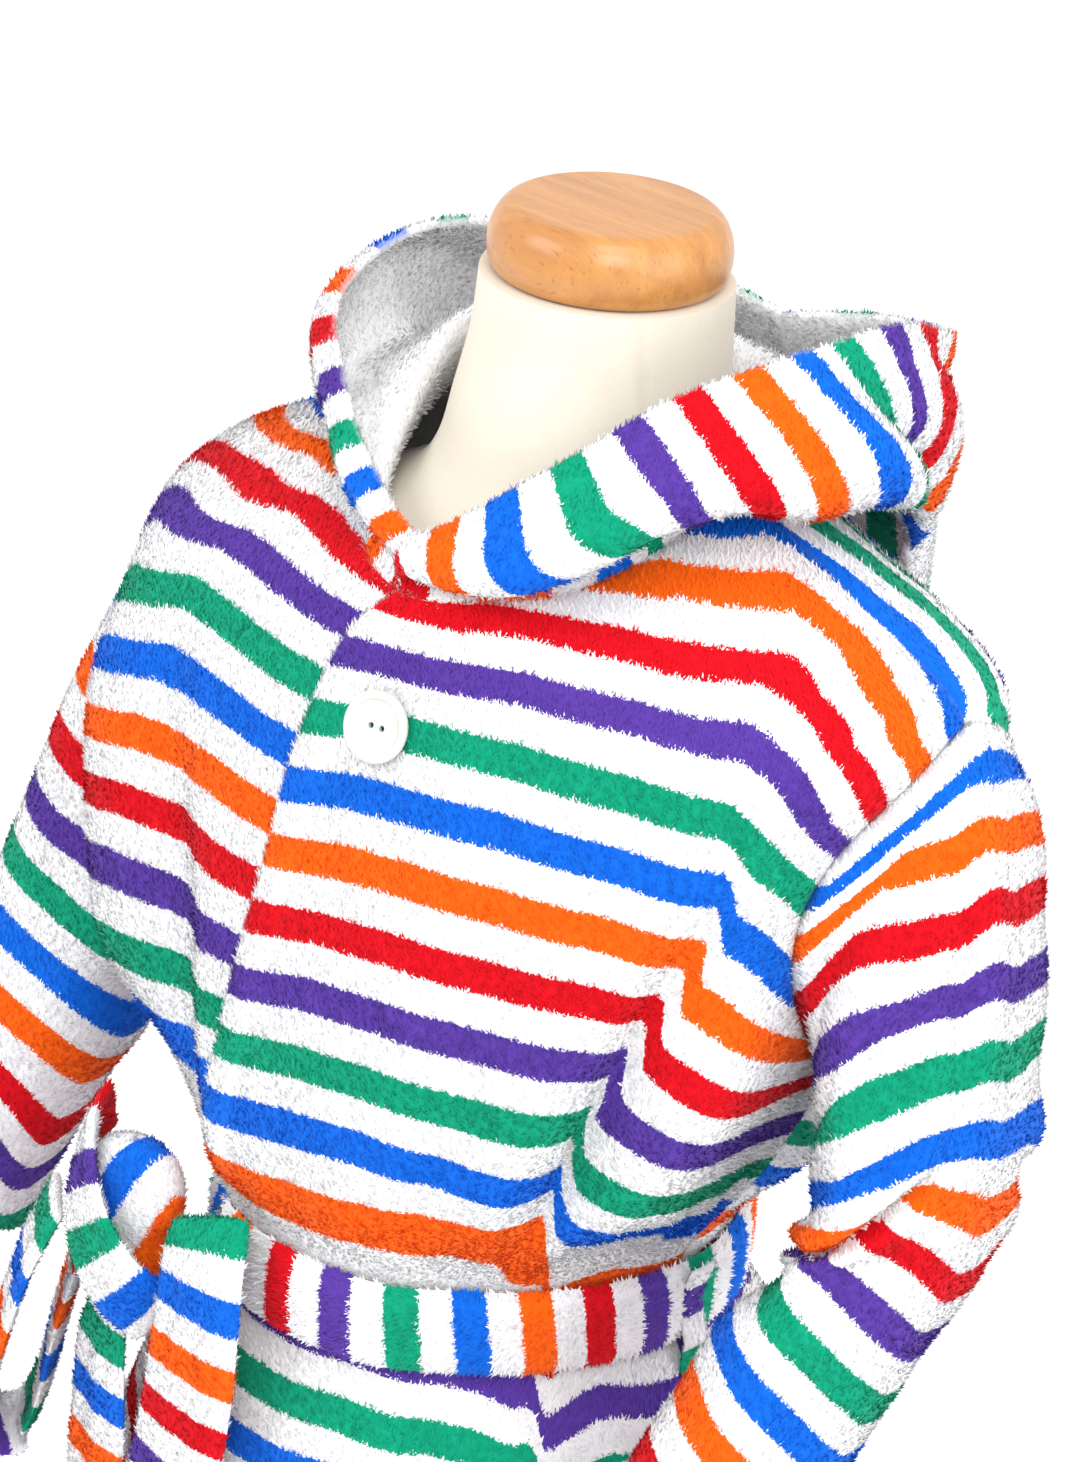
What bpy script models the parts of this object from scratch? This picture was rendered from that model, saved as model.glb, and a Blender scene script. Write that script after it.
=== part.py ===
"""Child's hooded terry bathrobe, worn by a limbless dress form on a round stand.

Sizes are in millimetres in the tables and in metres in the model.  The robe's front
looks along -Y, the wearer's left is +X, and the stand rests on z = 0.  The tables count
from the neck's axis; the model's origin is under the middle of the whole, because one
sleeve hangs further out than the other.
"""
import math

import bmesh
import bpy
import numpy as np

MM = 0.001
NECK_AXIS = (42.5, 8.2, 0.0)     # where the neck's axis stands in the model
GAP = 0.3                 # left between two pieces at a seam
TERRY = 3.0               # thickness of the looped cloth
BELT_CLOTH = 5.0          # the belt is two layers thick
OVERLAP_LIFT = 4.2        # how far the left front stands out where it laps the right one

# The robe's body, ring by ring from the hem to the neckline.
BODY_COLUMNS = (
    "row", "front_z", "side_z", "back_z", "half_width", "front_y", "side_y", "back_y", "square")
BODY_ROWS = (
    ("hem", 250, 250, 250, 206, -188, -12, 165, 2.0),
    ("thigh", 430, 430, 430, 182, -177, -12, 144, 2.0),
    ("hip", 580, 580, 580, 157, -166, -12, 122, 2.1),
    ("under_belt", 655, 648, 652, 127, -156, -12, 101, 2.2),
    ("belt_low", 694, 682, 690, 102, -146, -12, 81, 2.2),
    ("belt_high", 735, 721, 730, 102, -147, -12, 81, 2.2),
    ("blouse", 774, 780, 772, 138, -160, -10, 103, 2.2),
    ("armpit", 845, 838, 846, 163, -154, -5, 114, 2.5),
    ("chest", 900, 896, 905, 178, -142, 0, 114, 2.6),
    ("upper_chest", 948, 953, 962, 193, -130, 4, 106, 2.6),
    ("tip", 983, 1003, 1008, 198, -119, 9, 91, 2.5),
    ("slope", 1003, 1036, 1039, 139, -113, 8, 77, 2.2),
    ("neckline", 1020, 1066, 1062, 80, -107, 5, 62, 2.0),
)
ROW_STEPS = (2, 2, 2, 2, 2, 2, 2, 3, 3, 2, 2, 2)      # grid rows between two named rings

# Where the fronts end, as angles from centre front towards the wearer's left.
EDGE_COLUMNS = ("row", "left_edge", "right_edge")
FRONT_EDGES = (
    ("hem", -17, 15), ("thigh", -18, 16), ("hip", -18, 16), ("under_belt", -18, 16),
    ("belt_low", -19, 16), ("belt_high", -19, 16), ("blouse", -17, 15), ("armpit", -14, 12),
    ("chest", -13, 11), ("upper_chest", -13, 11), ("tip", -11, 8), ("slope", -8, 5),
    ("neckline", -1.2, 0.8),
)
ARMHOLE_FRONT = 19.0      # how far the armhole bites into the front, in degrees
ARMHOLE_BACK = 17.0
FRONT_COLUMNS = 12        # grid columns across one front
BACK_COLUMNS = 22         # grid columns across the back

# Folds of the body: soft ridges (+) and troughs (-) from a top to a foot.
FOLD_COLUMNS = ("top_angle", "top_z", "foot_angle", "foot_z", "width", "height", "open_foot")
FOLD_GROWS_BY = 0.45      # share of its length over which a fold rises to full height
FOLD_FADES_FROM = 0.72    # and from which a closed one dies away again
BODY_FOLDS = (
    # the skirt flares from the belt in uneven gathers down to the hem
    (-167, 706, -171, 250, 7, 18, 1), (-143, 700, -148, 250, 7, 14, 1),
    (-118, 704, -122, 250, 8, 19, 1),
    (-94, 698, -97, 250, 7, 15, 1), (-72, 704, -74, 250, 7, 17, 1), (-47, 700, -49, 250, 6, 13, 1),
    (24, 690, 25, 250, 5, 8, 1), (47, 706, 48, 250, 6, 15, 1), (71, 704, 73, 250, 7, 17, 1),
    (94, 698, 97, 250, 7, 14, 1), (118, 704, 122, 250, 8, 18, 1), (143, 700, 146, 250, 7, 16, 1),
    (168, 706, 170, 250, 6, 13, 1), (36, 690, 36, 250, 4, -7, 1), (60, 690, 61, 250, 5, -8, 1),
    (-59, 690, -61, 250, 5, -8, 1), (-83, 690, -85, 250, 5, -7, 1), (-106, 690, -109, 250, 5, -8, 1),
    (-131, 690, -135, 250, 5, -8, 1), (106, 690, 109, 250, 5, -8, 1), (131, 690, 134, 250, 5, -8, 1),
    # the left front drops from the armhole, creases and rolls over the belt
    (68, 900, 62, 748, 11, 12, 0), (60, 945, 43, 744, 4.5, -9, 0), (69, 935, 54, 744, 7, 9, 0),
    (48, 930, 33, 744, 7, 4, 0),
    # the right front swells beside the armhole and is drawn in towards the knot
    (-60, 1020, -54, 748, 15, 30, 0), (-47, 1000, -31, 748, 5, -9, 0), (-38, 930, -24, 748, 5, -6, 0),
    # gathers over the belt round the back
    (-104, 870, -98, 744, 7, 9, 0), (-128, 890, -122, 744, 8, 11, 0), (-152, 870, -147, 744, 7, 9, 0),
    (178, 880, 178, 744, 8, 8, 0), (151, 890, 147, 744, 8, 11, 0), (126, 870, 121, 744, 7, 9, 0),
    (103, 880, 98, 744, 7, 9, 0), (-140, 850, -135, 744, 5, -6, 0), (138, 860, 134, 744, 5, -6, 0),
    # slack under each arm on the back
    (102, 985, 114, 860, 8, 7, 0), (-102, 985, -114, 860, 8, 7, 0),
)

# Sleeves: each ring has an outer point, an inner point and half its depth.
SLEEVE_COLUMNS = ("outer_x", "outer_y", "outer_z", "inner_x", "inner_y", "inner_z", "half_depth")
LEFT_SLEEVE = (
    (216, 7, 988, 177, -5, 824, 52),
    (228, 5, 960, 179, -8, 809, 54),
    (237, 3, 925, 177, -10, 797, 52),
    (243, 0, 888, 180, -13, 786, 50),
    (247, -3, 852, 181, -16, 775, 48),
    (248, -8, 818, 180, -22, 763, 46),
    (246, -16, 786, 174, -32, 750, 44),
    (240, -32, 754, 164, -46, 733, 42),
    (233, -50, 722, 155, -62, 710, 41),
    (226, -68, 690, 149, -78, 684, 40),
    (220, -86, 659, 143, -94, 656, 40),
    (214, -104, 628, 137, -110, 628, 40),
)
RIGHT_SLEEVE = (
    (-217, 7, 988, -178, -5, 824, 52),
    (-232, 4, 960, -182, -9, 808, 54),
    (-247, 0, 924, -184, -14, 795, 52),
    (-261, -4, 888, -188, -18, 781, 50),
    (-274, -8, 852, -193, -22, 766, 48),
    (-286, -13, 815, -199, -28, 749, 46),
    (-297, -19, 778, -207, -36, 730, 44),
    (-307, -27, 743, -216, -44, 708, 43),
    (-315, -36, 710, -225, -54, 684, 42),
    (-322, -46, 678, -233, -64, 658, 41),
    (-328, -57, 646, -240, -76, 632, 41),
    (-333, -69, 614, -246, -88, 605, 41),
)
SLEEVE_ROUND = 16         # points round a sleeve, half of them on the front
SLEEVE_HEAD = 3.5         # the cloth leaves the armhole square to the body this far
SLEEVE_GAP = 0.4          # the sleeve stands this far inside the armhole's edge
SLEEVE_TIP_EASE = 0.8     # and this much more at the shoulder's tip, where the edge twists
SLEEVE_FOLD_COLUMNS = ("around", "along", "around_width", "along_width", "height")
LEFT_SLEEVE_FOLDS = (
    (60, 3.2, 16, 2.6, -5), (92, 3.0, 16, 2.4, 4), (180, 5.9, 60, 0.5, -8), (180, 7.0, 55, 0.6, 5),
    (130, 6.4, 30, 0.5, -5), (40, 8.5, 22, 2.0, -4), (-60, 4.0, 24, 2.0, 5), (-100, 5.5, 24, 1.6, -5),
)
RIGHT_SLEEVE_FOLDS = (
    (55, 3.4, 16, 2.6, 5), (95, 3.4, 14, 2.6, -6), (140, 5.0, 24, 2.4, 5), (180, 5.9, 55, 0.6, -6),
    (180, 7.1, 50, 0.7, 4), (-60, 4.2, 24, 2.0, 5), (-100, 5.8, 24, 1.6, -5),
)

# The hood, thrown back: each station is a section from the neckline to the rim.
HOOD_COLUMNS = (
    "angle", "knee_r", "knee_z", "lay_r", "lay_z", "fold_r", "fold_z", "crest_r", "crest_z",
    "rim_r", "rim_z")
HOOD_LEFT = (
    (-3, 110, 1025, 111, 1028, 113, 1031, 112, 1037, 107, 1043),
    (28, 92, 1047, 104, 1045, 118, 1038, 120, 1053, 96, 1081),
    (58, 77, 1076, 99, 1068, 117, 1071, 116, 1092, 92, 1114),
    (90, 74, 1091, 110, 1072, 140, 1079, 139, 1103, 106, 1132),
    (118, 75, 1093, 113, 1062, 141, 1056, 144, 1092, 124, 1132),
    (142, 82, 1090, 121, 1048, 141, 1003, 145, 1056, 148, 1109),
    (162, 86, 1086, 124, 996, 160, 906, 174, 996, 139, 1099),
    (180, 86, 1084, 122, 976, 148, 866, 172, 980, 120, 1091),
)
HOOD_RIGHT = (
    (-2, 103, 1024, 103.5, 1028, 104, 1032, 103, 1036, 100, 1040),
    (28, 91, 1042, 98, 1040, 104, 1041, 106, 1050, 98, 1058),
    (54, 77, 1067, 96, 1059, 109, 1057, 113, 1069, 107, 1079),
    (80, 73, 1087, 104, 1065, 130, 1065, 138, 1086, 127, 1097),
    (102, 73, 1096, 110, 1065, 139, 1062, 144, 1098, 128, 1113),
    (130, 85, 1092, 126, 1050, 158, 1010, 160, 1060, 124, 1109),
    (156, 86, 1087, 124, 1000, 164, 905, 176, 996, 122, 1098),
    (180, 86, 1084, 122, 976, 148, 866, 172, 980, 120, 1091),
)
HOOD_SECTION_STEPS = (1, 2, 3, 4, 2)     # grid rows between two points of a section
HOOD_MIDDLE_GAP = 0.2     # degrees left at the seam along the hood's middle
HOOD_ROW_STEP = 0.1       # rows below the neckline that give the direction the hood rises in

# The belt, tied in a half bow beside the front edge.
BELT_STAND = 0.7          # over the cloth it holds in
BELT_CROWN = 1.6          # it is fuller along its middle
BELT_LAP_CLEAR = 5.0      # degrees kept from the left front's edge, where the cloth steps up
BAND_STEPS = 2            # grid rows between two lines of a table
BAND_ACROSS = (-0.5, -0.28, 0, 0.28, 0.5)
BAND_CROWN = 1.5
BAND_COLUMNS = ("x", "y", "z", "width", "facing")
# the near tail comes over the belt beside the knot and hangs flat in front of the skirt
TAIL_FRONT = (
    (-31, -167, 737, 38, -4), (-26, -175, 726, 44, 0), (-24, -179, 704, 47, 0),
    (-25, -180, 674, 48, 2), (-29, -180, 638, 48, 2), (-36, -182, 592, 48, 0),
    (-43, -185, 546, 48, -3), (-47, -189, 500, 48, -4), (-50, -193, 456, 48, -4),
)
# the far tail hangs behind it, out from under the knot
TAIL_BACK = (
    (-93, -163, 662, 34, -20), (-94, -165, 640, 44, -18), (-93, -166, 600, 47, -16),
    (-92, -168, 550, 48, -15), (-91, -171, 500, 48, -15), (-91, -174, 452, 48, -15),
)
# the bow falls from the knot's outer side and comes back up behind itself
BOW = (
    (-129, -161, 703, 32, -38), (-139, -167, 674, 42, -44), (-149, -171, 634, 46, -46),
    (-158, -171, 596, 47, -48), (-161, -165, 578, 47, -48), (-157, -154, 573, 47, -48),
    (-151, -147, 592, 46, -48), (-144, -143, 634, 42, -48), (-135, -141, 668, 34, -46),
)
KNOT_LEAN = 5.0           # its top leans this far towards the wearer's left
KNOT_CENTRE = (-85.0, -161.0, 711.0)
KNOT_HALF = (29.0, 19.0, 43.0)
KNOT_ROUND = 18
KNOT_RINGS = 10
KNOT_END = 0.96           # the last ring's height, as a share of the knot's half height
KNOT_SQUARE = 3.0
KNOT_PINCH = 0.18         # how far the waist is drawn in
KNOT_PINCH_WIDTH = 0.22
KNOT_CREASE_COLUMNS = ("turn", "width", "depth")
KNOT_CREASES = ((1.1, 0.25, 0.10), (5.0, 0.3, 0.08))

# The button and the two belt loops.
BUTTON_RADIUS = 15.0
BUTTON_THICK = 4.2
BUTTON_Z = 968.0
# shares of the button's radius and thickness, from the foot over the rim to the middle
BUTTON_PROFILE = (
    (0.80, 0.0), (0.97, 0.35), (1.0, 0.6), (0.95, 0.9), (0.86, 1.0), (0.76, 0.9), (0.68, 0.62),
    (0.3, 0.56))
BUTTON_ROUND = 28
BUTTON_HOLE_RADIUS = 1.3
BUTTON_HOLE_SPACING = 5.2
BUTTON_HOLE_ROUND = 10
BUTTON_ANGLE = 4.5         # where it sits, from centre front
BUTTON_STAND = 2.8        # its middle stands off the cloth on its thread
BUTTON_TURN = 9.0         # it hangs a little turned on its thread
LOOP_WIDTH = 13.0
LOOP_THICK = 2.4
LOOP_STAND = 1.0
LOOP_ROWS = (3.5, 5.06)   # from below the belt to its top edge, where the cloth rolls over

# The dress form and its stand.
FORM_COLUMNS = ("z", "half_width", "front_y", "side_y", "back_y", "square")
FORM_ROWS = (
    (604, 89, -108, -12, 64, 2.1),
    (612, 97, -116, -12, 70, 2.1),
    (680, 92, -120, -12, 66, 2.1),
    (735, 89, -122, -12, 63, 2.1),
    (790, 97, -126, -12, 74, 2.2),
    (850, 110, -128, -7, 90, 2.3),
    (905, 124, -124, -3, 94, 2.4),
    (950, 136, -117, 1, 90, 2.4),
    (985, 142, -108, 5, 80, 2.3),
    (1008, 128, -99, 5, 70, 2.2),
    (1024, 100, -90, 4, 63, 2.1),
    (1040, 75, -78, 3, 56, 2.0),
    (1058, 63, -67, 1, 53, 2.0),
    (1082, 58, -61, 0, 53, 2.0),
    (1108, 54, -55, 0, 53, 2.0),
    (1134, 52.5, -53, 0, 52.5, 2.0),
)
FORM_ROUND = 28
CAP_RADIUS = 50.5
CAP_FOOT_Z = 1134.5
CAP_WIDEST = 11.0         # above the cap's foot
CAP_THICK = 29.0
CAP_TOP_ROUND = 11.5      # how far in from the side the top starts to round over
CAP_TOP_STEPS = 7
CAP_FOOT_PROFILE = ((0.93, 0.0), (0.985, 3.0))     # share of the radius, height over the foot
POLE_RADIUS = 12.5
POLE_ROUND = 24
BASE_RADIUS = 165.0
BASE_THICK = 14.0
BASE_HUB_RADIUS = 30.0
BASE_HUB_HEIGHT = 34.0
# the base's plate, in from its rim, and the hub's foot and top, out from the hub's side
BASE_PLATE = ((0, 0), (0, 6.3), (6, 11.2), (22, BASE_THICK))
BASE_HUB = ((12, BASE_THICK + 4), (0, BASE_THICK + 9), (-8, BASE_HUB_HEIGHT))
ROUND_STEPS = 36

COLOURS = {
    "terry": (0.93, 0.93, 0.95), "belt": (0.10, 0.40, 0.80), "button": (0.80, 0.81, 0.77),
    "form_cover": (0.85, 0.79, 0.70), "cap_wood": (0.73, 0.37, 0.11), "stand": (0.16, 0.16, 0.17),
}
FINISH = {
    "terry": (0.95, 0.0), "belt": (0.95, 0.0), "button": (0.45, 0.0),
    "form_cover": (0.9, 0.0), "cap_wood": (0.35, 0.0), "stand": (0.4, 0.8),
}


# ---------------------------------------------------------------- curves and tables
def column(table, names, name):
    return np.array([line[names.index(name)] for line in table], float)


def smooth(values, place):
    """Values of a table column at fractional rows, on a smooth curve through them all."""
    values = np.asarray(values, float)
    place = np.clip(np.asarray(place, float), 0, len(values) - 1)
    low = np.minimum(np.floor(place).astype(int), len(values) - 2)
    part = place - low
    before = values[np.maximum(low - 1, 0)]
    first = values[low]
    second = values[low + 1]
    after = values[np.minimum(low + 2, len(values) - 1)]
    slope_first = 0.5 * (second - before)
    slope_second = 0.5 * (after - first)
    square = part * part
    cube = square * part
    return ((2 * cube - 3 * square + 1) * first + (cube - 2 * square + part) * slope_first
            + (3 * square - 2 * cube) * second + (cube - square) * slope_second)


def ramp(value, low, high):
    part = np.clip((value - low) / (high - low), 0, 1)
    return part * part * (3 - 2 * part)


ROW_NAMES = [line[0] for line in BODY_ROWS]
ARMPIT = ROW_NAMES.index("armpit")
TIP = ROW_NAMES.index("tip")
BELT_LOW = ROW_NAMES.index("belt_low")
BELT_HIGH = ROW_NAMES.index("belt_high")
NECKLINE = ROW_NAMES.index("neckline")


def grid_rows():
    """Fractional rows of the panels' grid, the same for every panel so that seams meet."""
    rows = [0.0]
    for start, steps in enumerate(ROW_STEPS):
        rows += [start + (step + 1) / steps for step in range(steps)]
    return np.array(rows)


GRID_ROWS = grid_rows()


# ---------------------------------------------------------------- the body's surface
def body_point(angle, row):
    """A point of the robe's outer face: angle in degrees from centre front, fractional row."""
    angle, row = np.broadcast_arrays(np.asarray(angle, float), np.asarray(row, float))
    ring = {name: smooth(column(BODY_ROWS, BODY_COLUMNS, name), row) for name in BODY_COLUMNS[1:]}
    turn = np.radians(angle)
    side, ahead = np.sin(turn), np.cos(turn)
    front = ahead > 0
    depth = np.where(front, ring["side_y"] - ring["front_y"], ring["back_y"] - ring["side_y"])
    power = ring["square"]
    reach = ((np.abs(side) / ring["half_width"]) ** power
             + (np.abs(ahead) / depth) ** power) ** (-1 / power)
    end_z = np.where(front, ring["front_z"], ring["back_z"])
    height = ring["side_z"] + (end_z - ring["side_z"]) * np.abs(ahead) ** 1.4
    reach = reach + fold_height(angle, height)
    return np.stack([reach * side, ring["side_y"] - reach * ahead, height], -1)


def fold_height(angle, height):
    """How far the folds push the cloth out at an angle and a height."""
    total = np.zeros(np.shape(angle))
    for line in BODY_FOLDS:
        fold = dict(zip(FOLD_COLUMNS, line))
        share = (fold["top_z"] - height) / (fold["top_z"] - fold["foot_z"])
        drift = (fold["foot_angle"] - fold["top_angle"]) * np.clip(share, 0, 1)
        off = (angle - fold["top_angle"] - drift + 180) % 360 - 180
        window = ramp(share, 0, FOLD_GROWS_BY)
        if not fold["open_foot"]:
            window = window * (1 - ramp(share, FOLD_FADES_FROM, 1.0))
        total = total + fold["height"] * window * np.exp(-(off / fold["width"]) ** 2)
    return total


def body_normal(angle, row):
    """The outward direction of the body's surface, from two short steps on it."""
    step = 0.4
    row_step = 0.02
    row = np.asarray(row, float)
    low = np.maximum(row - row_step, 0)
    high = np.minimum(row + row_step, NECKLINE)
    across = body_point(np.asarray(angle) + step, row) - body_point(np.asarray(angle) - step, row)
    along = body_point(angle, high) - body_point(angle, low)
    normal = np.cross(across, along)
    return normal / np.linalg.norm(normal, axis=-1, keepdims=True)


def on_body(angle, row, lift):
    """A point standing off the body's outer face by a distance along its normal."""
    lift = np.asarray(lift, float)
    return body_point(angle, row) + body_normal(angle, row) * lift[..., None]


def overlap_lift(angle):
    """The left front lifts over the right one near centre front."""
    return OVERLAP_LIFT * (1 - ramp(np.asarray(angle, float), 19, 33))


def armhole_bite(row, depth):
    share = np.clip((np.asarray(row, float) - ARMPIT) / (TIP - ARMPIT), 0, 1)
    return depth * np.sin(math.pi * share) ** 0.7


def seam_half_gap(row):
    """A little over half the seam gap, as an angle at the body's side."""
    reach = smooth(column(BODY_ROWS, BODY_COLUMNS, "half_width"), row)
    return np.degrees(GAP * 0.55 / reach)


# ---------------------------------------------------------------- making meshes
def material_for(slot):
    material = bpy.data.materials.get(slot) or bpy.data.materials.new(slot)
    material.use_nodes = True
    shader = material.node_tree.nodes["Principled BSDF"]
    shader.inputs["Base Color"].default_value = (*COLOURS[slot], 1)
    shader.inputs["Roughness"].default_value = FINISH[slot][0]
    shader.inputs["Metallic"].default_value = FINISH[slot][1]
    return material


def add_object(name, mesh, slot):
    mesh.materials.append(material_for(slot))
    mesh.shade_smooth()
    mesh.set_sharp_from_angle(angle=math.radians(40))
    piece = bpy.data.objects.new(name, mesh)
    piece.location = np.array(NECK_AXIS) * MM
    bpy.context.scene.collection.objects.link(piece)
    return piece


def closed_mesh(name, points, faces):
    mesh = bpy.data.meshes.new(name)
    mesh.from_pydata([tuple(point) for point in points * MM], [], faces)
    shape = bmesh.new()
    shape.from_mesh(mesh)
    bmesh.ops.recalc_face_normals(shape, faces=shape.faces)
    shape.to_mesh(mesh)
    shape.free()
    return mesh


def cloth_wall(name, outside, inside, slot, round_again=False):
    """One piece of cloth: its outer grid, its inner grid and the cut edges between them."""
    rows, columns = outside.shape[:2]
    points = np.concatenate([outside.reshape(-1, 3), inside.reshape(-1, 3)])
    other = rows * columns
    wrap = columns if round_again else columns - 1

    def at(row, place):
        return row * columns + place % columns

    faces = []
    for row in range(rows - 1):
        for place in range(wrap):
            near, far = at(row, place), at(row, place + 1)
            above, across = at(row + 1, place), at(row + 1, place + 1)
            for face in ((near, far, across), (near, across, above)):
                faces.append(face)
                faces.append(tuple(other + point for point in reversed(face)))
    for place in range(wrap):
        for row in (0, rows - 1):
            first, second = at(row, place), at(row, place + 1)
            faces.append((first, second, other + second, other + first))
    if not round_again:
        for row in range(rows - 1):
            for place in (0, columns - 1):
                first, second = at(row, place), at(row + 1, place)
                faces.append((first, second, other + second, other + first))
    return add_object(name, closed_mesh(name, points, faces), slot)


def grid_normals(points, round_again=False):
    """Unit normals of a grid of points, from the neighbours on it."""
    if round_again:
        across = np.roll(points, -1, axis=1) - np.roll(points, 1, axis=1)
    else:
        across = np.gradient(points, axis=1)
    along = np.gradient(points, axis=0)
    normal = np.cross(across, along)
    return normal / np.linalg.norm(normal, axis=-1, keepdims=True)


def stacked_rings(name, rings, slot):
    """A closed round piece from rings of points, with a flat end at the foot and the top."""
    count, around = rings.shape[:2]
    faces = []
    for ring in range(count - 1):
        for place in range(around):
            following = (place + 1) % around
            faces.append((ring * around + place, ring * around + following,
                          (ring + 1) * around + following, (ring + 1) * around + place))
    faces.append(tuple(range(around)))
    faces.append(tuple((count - 1) * around + place for place in range(around)))
    return add_object(name, closed_mesh(name, rings.reshape(-1, 3), faces), slot)


def turned(name, profile, slot, steps=ROUND_STEPS):
    """A turned piece about the Z axis from (radius, height) pairs, foot to top."""
    turn = np.arange(steps) * 2 * math.pi / steps
    rings = np.array([np.stack([radius * np.sin(turn), -radius * np.cos(turn),
                                np.full(steps, height)], -1) for radius, height in profile])
    return stacked_rings(name, rings, slot)


# ---------------------------------------------------------------- back and fronts
def panel(name, first_angle, last_angle, columns, lift):
    """A body panel between two seams, given as angles for every grid row."""
    share = np.linspace(0, 1, columns + 1)[None, :]
    angle = first_angle[:, None] + (last_angle - first_angle)[:, None] * share
    row = np.repeat(GRID_ROWS[:, None], columns + 1, axis=1)
    stand_off = lift(angle)
    outside = on_body(angle, row, stand_off)
    inside = on_body(angle, row, stand_off - TERRY)
    cloth_wall(name, outside, inside, "terry")


def front_edge_angle(side):
    return smooth(column(FRONT_EDGES, EDGE_COLUMNS, side), GRID_ROWS)


def front_side_angle():
    return 90 - seam_half_gap(GRID_ROWS) - armhole_bite(GRID_ROWS, ARMHOLE_FRONT)


def back_side_angle():
    return 90 + seam_half_gap(GRID_ROWS) + armhole_bite(GRID_ROWS, ARMHOLE_BACK)


def make_body():
    no_lift = np.zeros_like
    panel("robe_front_left", front_edge_angle("left_edge"), front_side_angle(), FRONT_COLUMNS,
          overlap_lift)
    panel("robe_front_right", -front_side_angle(), front_edge_angle("right_edge"), FRONT_COLUMNS,
          no_lift)
    panel("robe_back", back_side_angle(), 360 - back_side_angle(), BACK_COLUMNS, no_lift)


# ---------------------------------------------------------------- sleeves
def armhole_ring(side):
    """The armhole's edge drawn in by the seam gap, from the tip round the front to the
    armpit and back up behind, with the body's outward direction at each point."""
    rows = GRID_ROWS[(GRID_ROWS >= ARMPIT) & (GRID_ROWS <= TIP)]
    front_rows = rows[::-1]
    back_rows = rows[1:-1]
    row = np.concatenate([front_rows, back_rows])
    angle = np.concatenate([90 - armhole_bite(front_rows, ARMHOLE_FRONT),
                            90 + armhole_bite(back_rows, ARMHOLE_BACK)]) * side
    edge = body_point(angle, row)
    outward = body_normal(angle, row)
    drawn_in = np.cross(np.roll(edge, -1, axis=0) - np.roll(edge, 1, axis=0), outward) * -side
    drawn_in = drawn_in / np.linalg.norm(drawn_in, axis=-1, keepdims=True)
    gap = SLEEVE_GAP + SLEEVE_TIP_EASE * ramp(row, TIP - 1, TIP)
    return edge + drawn_in * gap[:, None], outward


def table_points(table, names):
    return np.stack([column(table, SLEEVE_COLUMNS, name) for name in names], -1)


def sleeve_rings(table, folds):
    """One ring for every line of the table, an oval between its outer and inner points."""
    outer = table_points(table, ("outer_x", "outer_y", "outer_z"))
    inner = table_points(table, ("inner_x", "inner_y", "inner_z"))
    half_depth = column(table, SLEEVE_COLUMNS, "half_depth")
    centre = (outer + inner) / 2
    half_breadth = (outer - inner) / 2
    ahead = np.cross(half_breadth, np.gradient(centre, axis=0))
    ahead = ahead / np.linalg.norm(ahead, axis=-1, keepdims=True)
    ahead = ahead * -np.sign(ahead[:, 1:2])
    around = np.arange(SLEEVE_ROUND) * 360.0 / SLEEVE_ROUND
    place = np.arange(len(table))[:, None]
    reach = np.ones((len(table), SLEEVE_ROUND))
    for line in folds:
        fold = dict(zip(SLEEVE_FOLD_COLUMNS, line))
        off = (around - fold["around"] + 180) % 360 - 180
        reach += fold["height"] / half_depth[:, None] * np.exp(
            -(off / fold["around_width"]) ** 2
            - ((place - fold["along"]) / fold["along_width"]) ** 2)
    turn = np.radians(around)
    return (centre[:, None] + (reach * np.cos(turn))[..., None] * half_breadth[:, None]
            + (reach * np.sin(turn))[..., None] * (ahead * half_depth[:, None])[:, None])


def make_sleeve(name, table, side, folds):
    outside = sleeve_rings(table, folds)
    edge, outward = armhole_ring(side)
    head = edge + outward * SLEEVE_HEAD
    outside = np.concatenate([(edge - outward * TERRY)[None], head[None], outside])
    inside = outside - grid_normals(outside, round_again=True) * side * TERRY
    cloth_wall(name, outside, inside, "terry", round_again=True)


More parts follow.
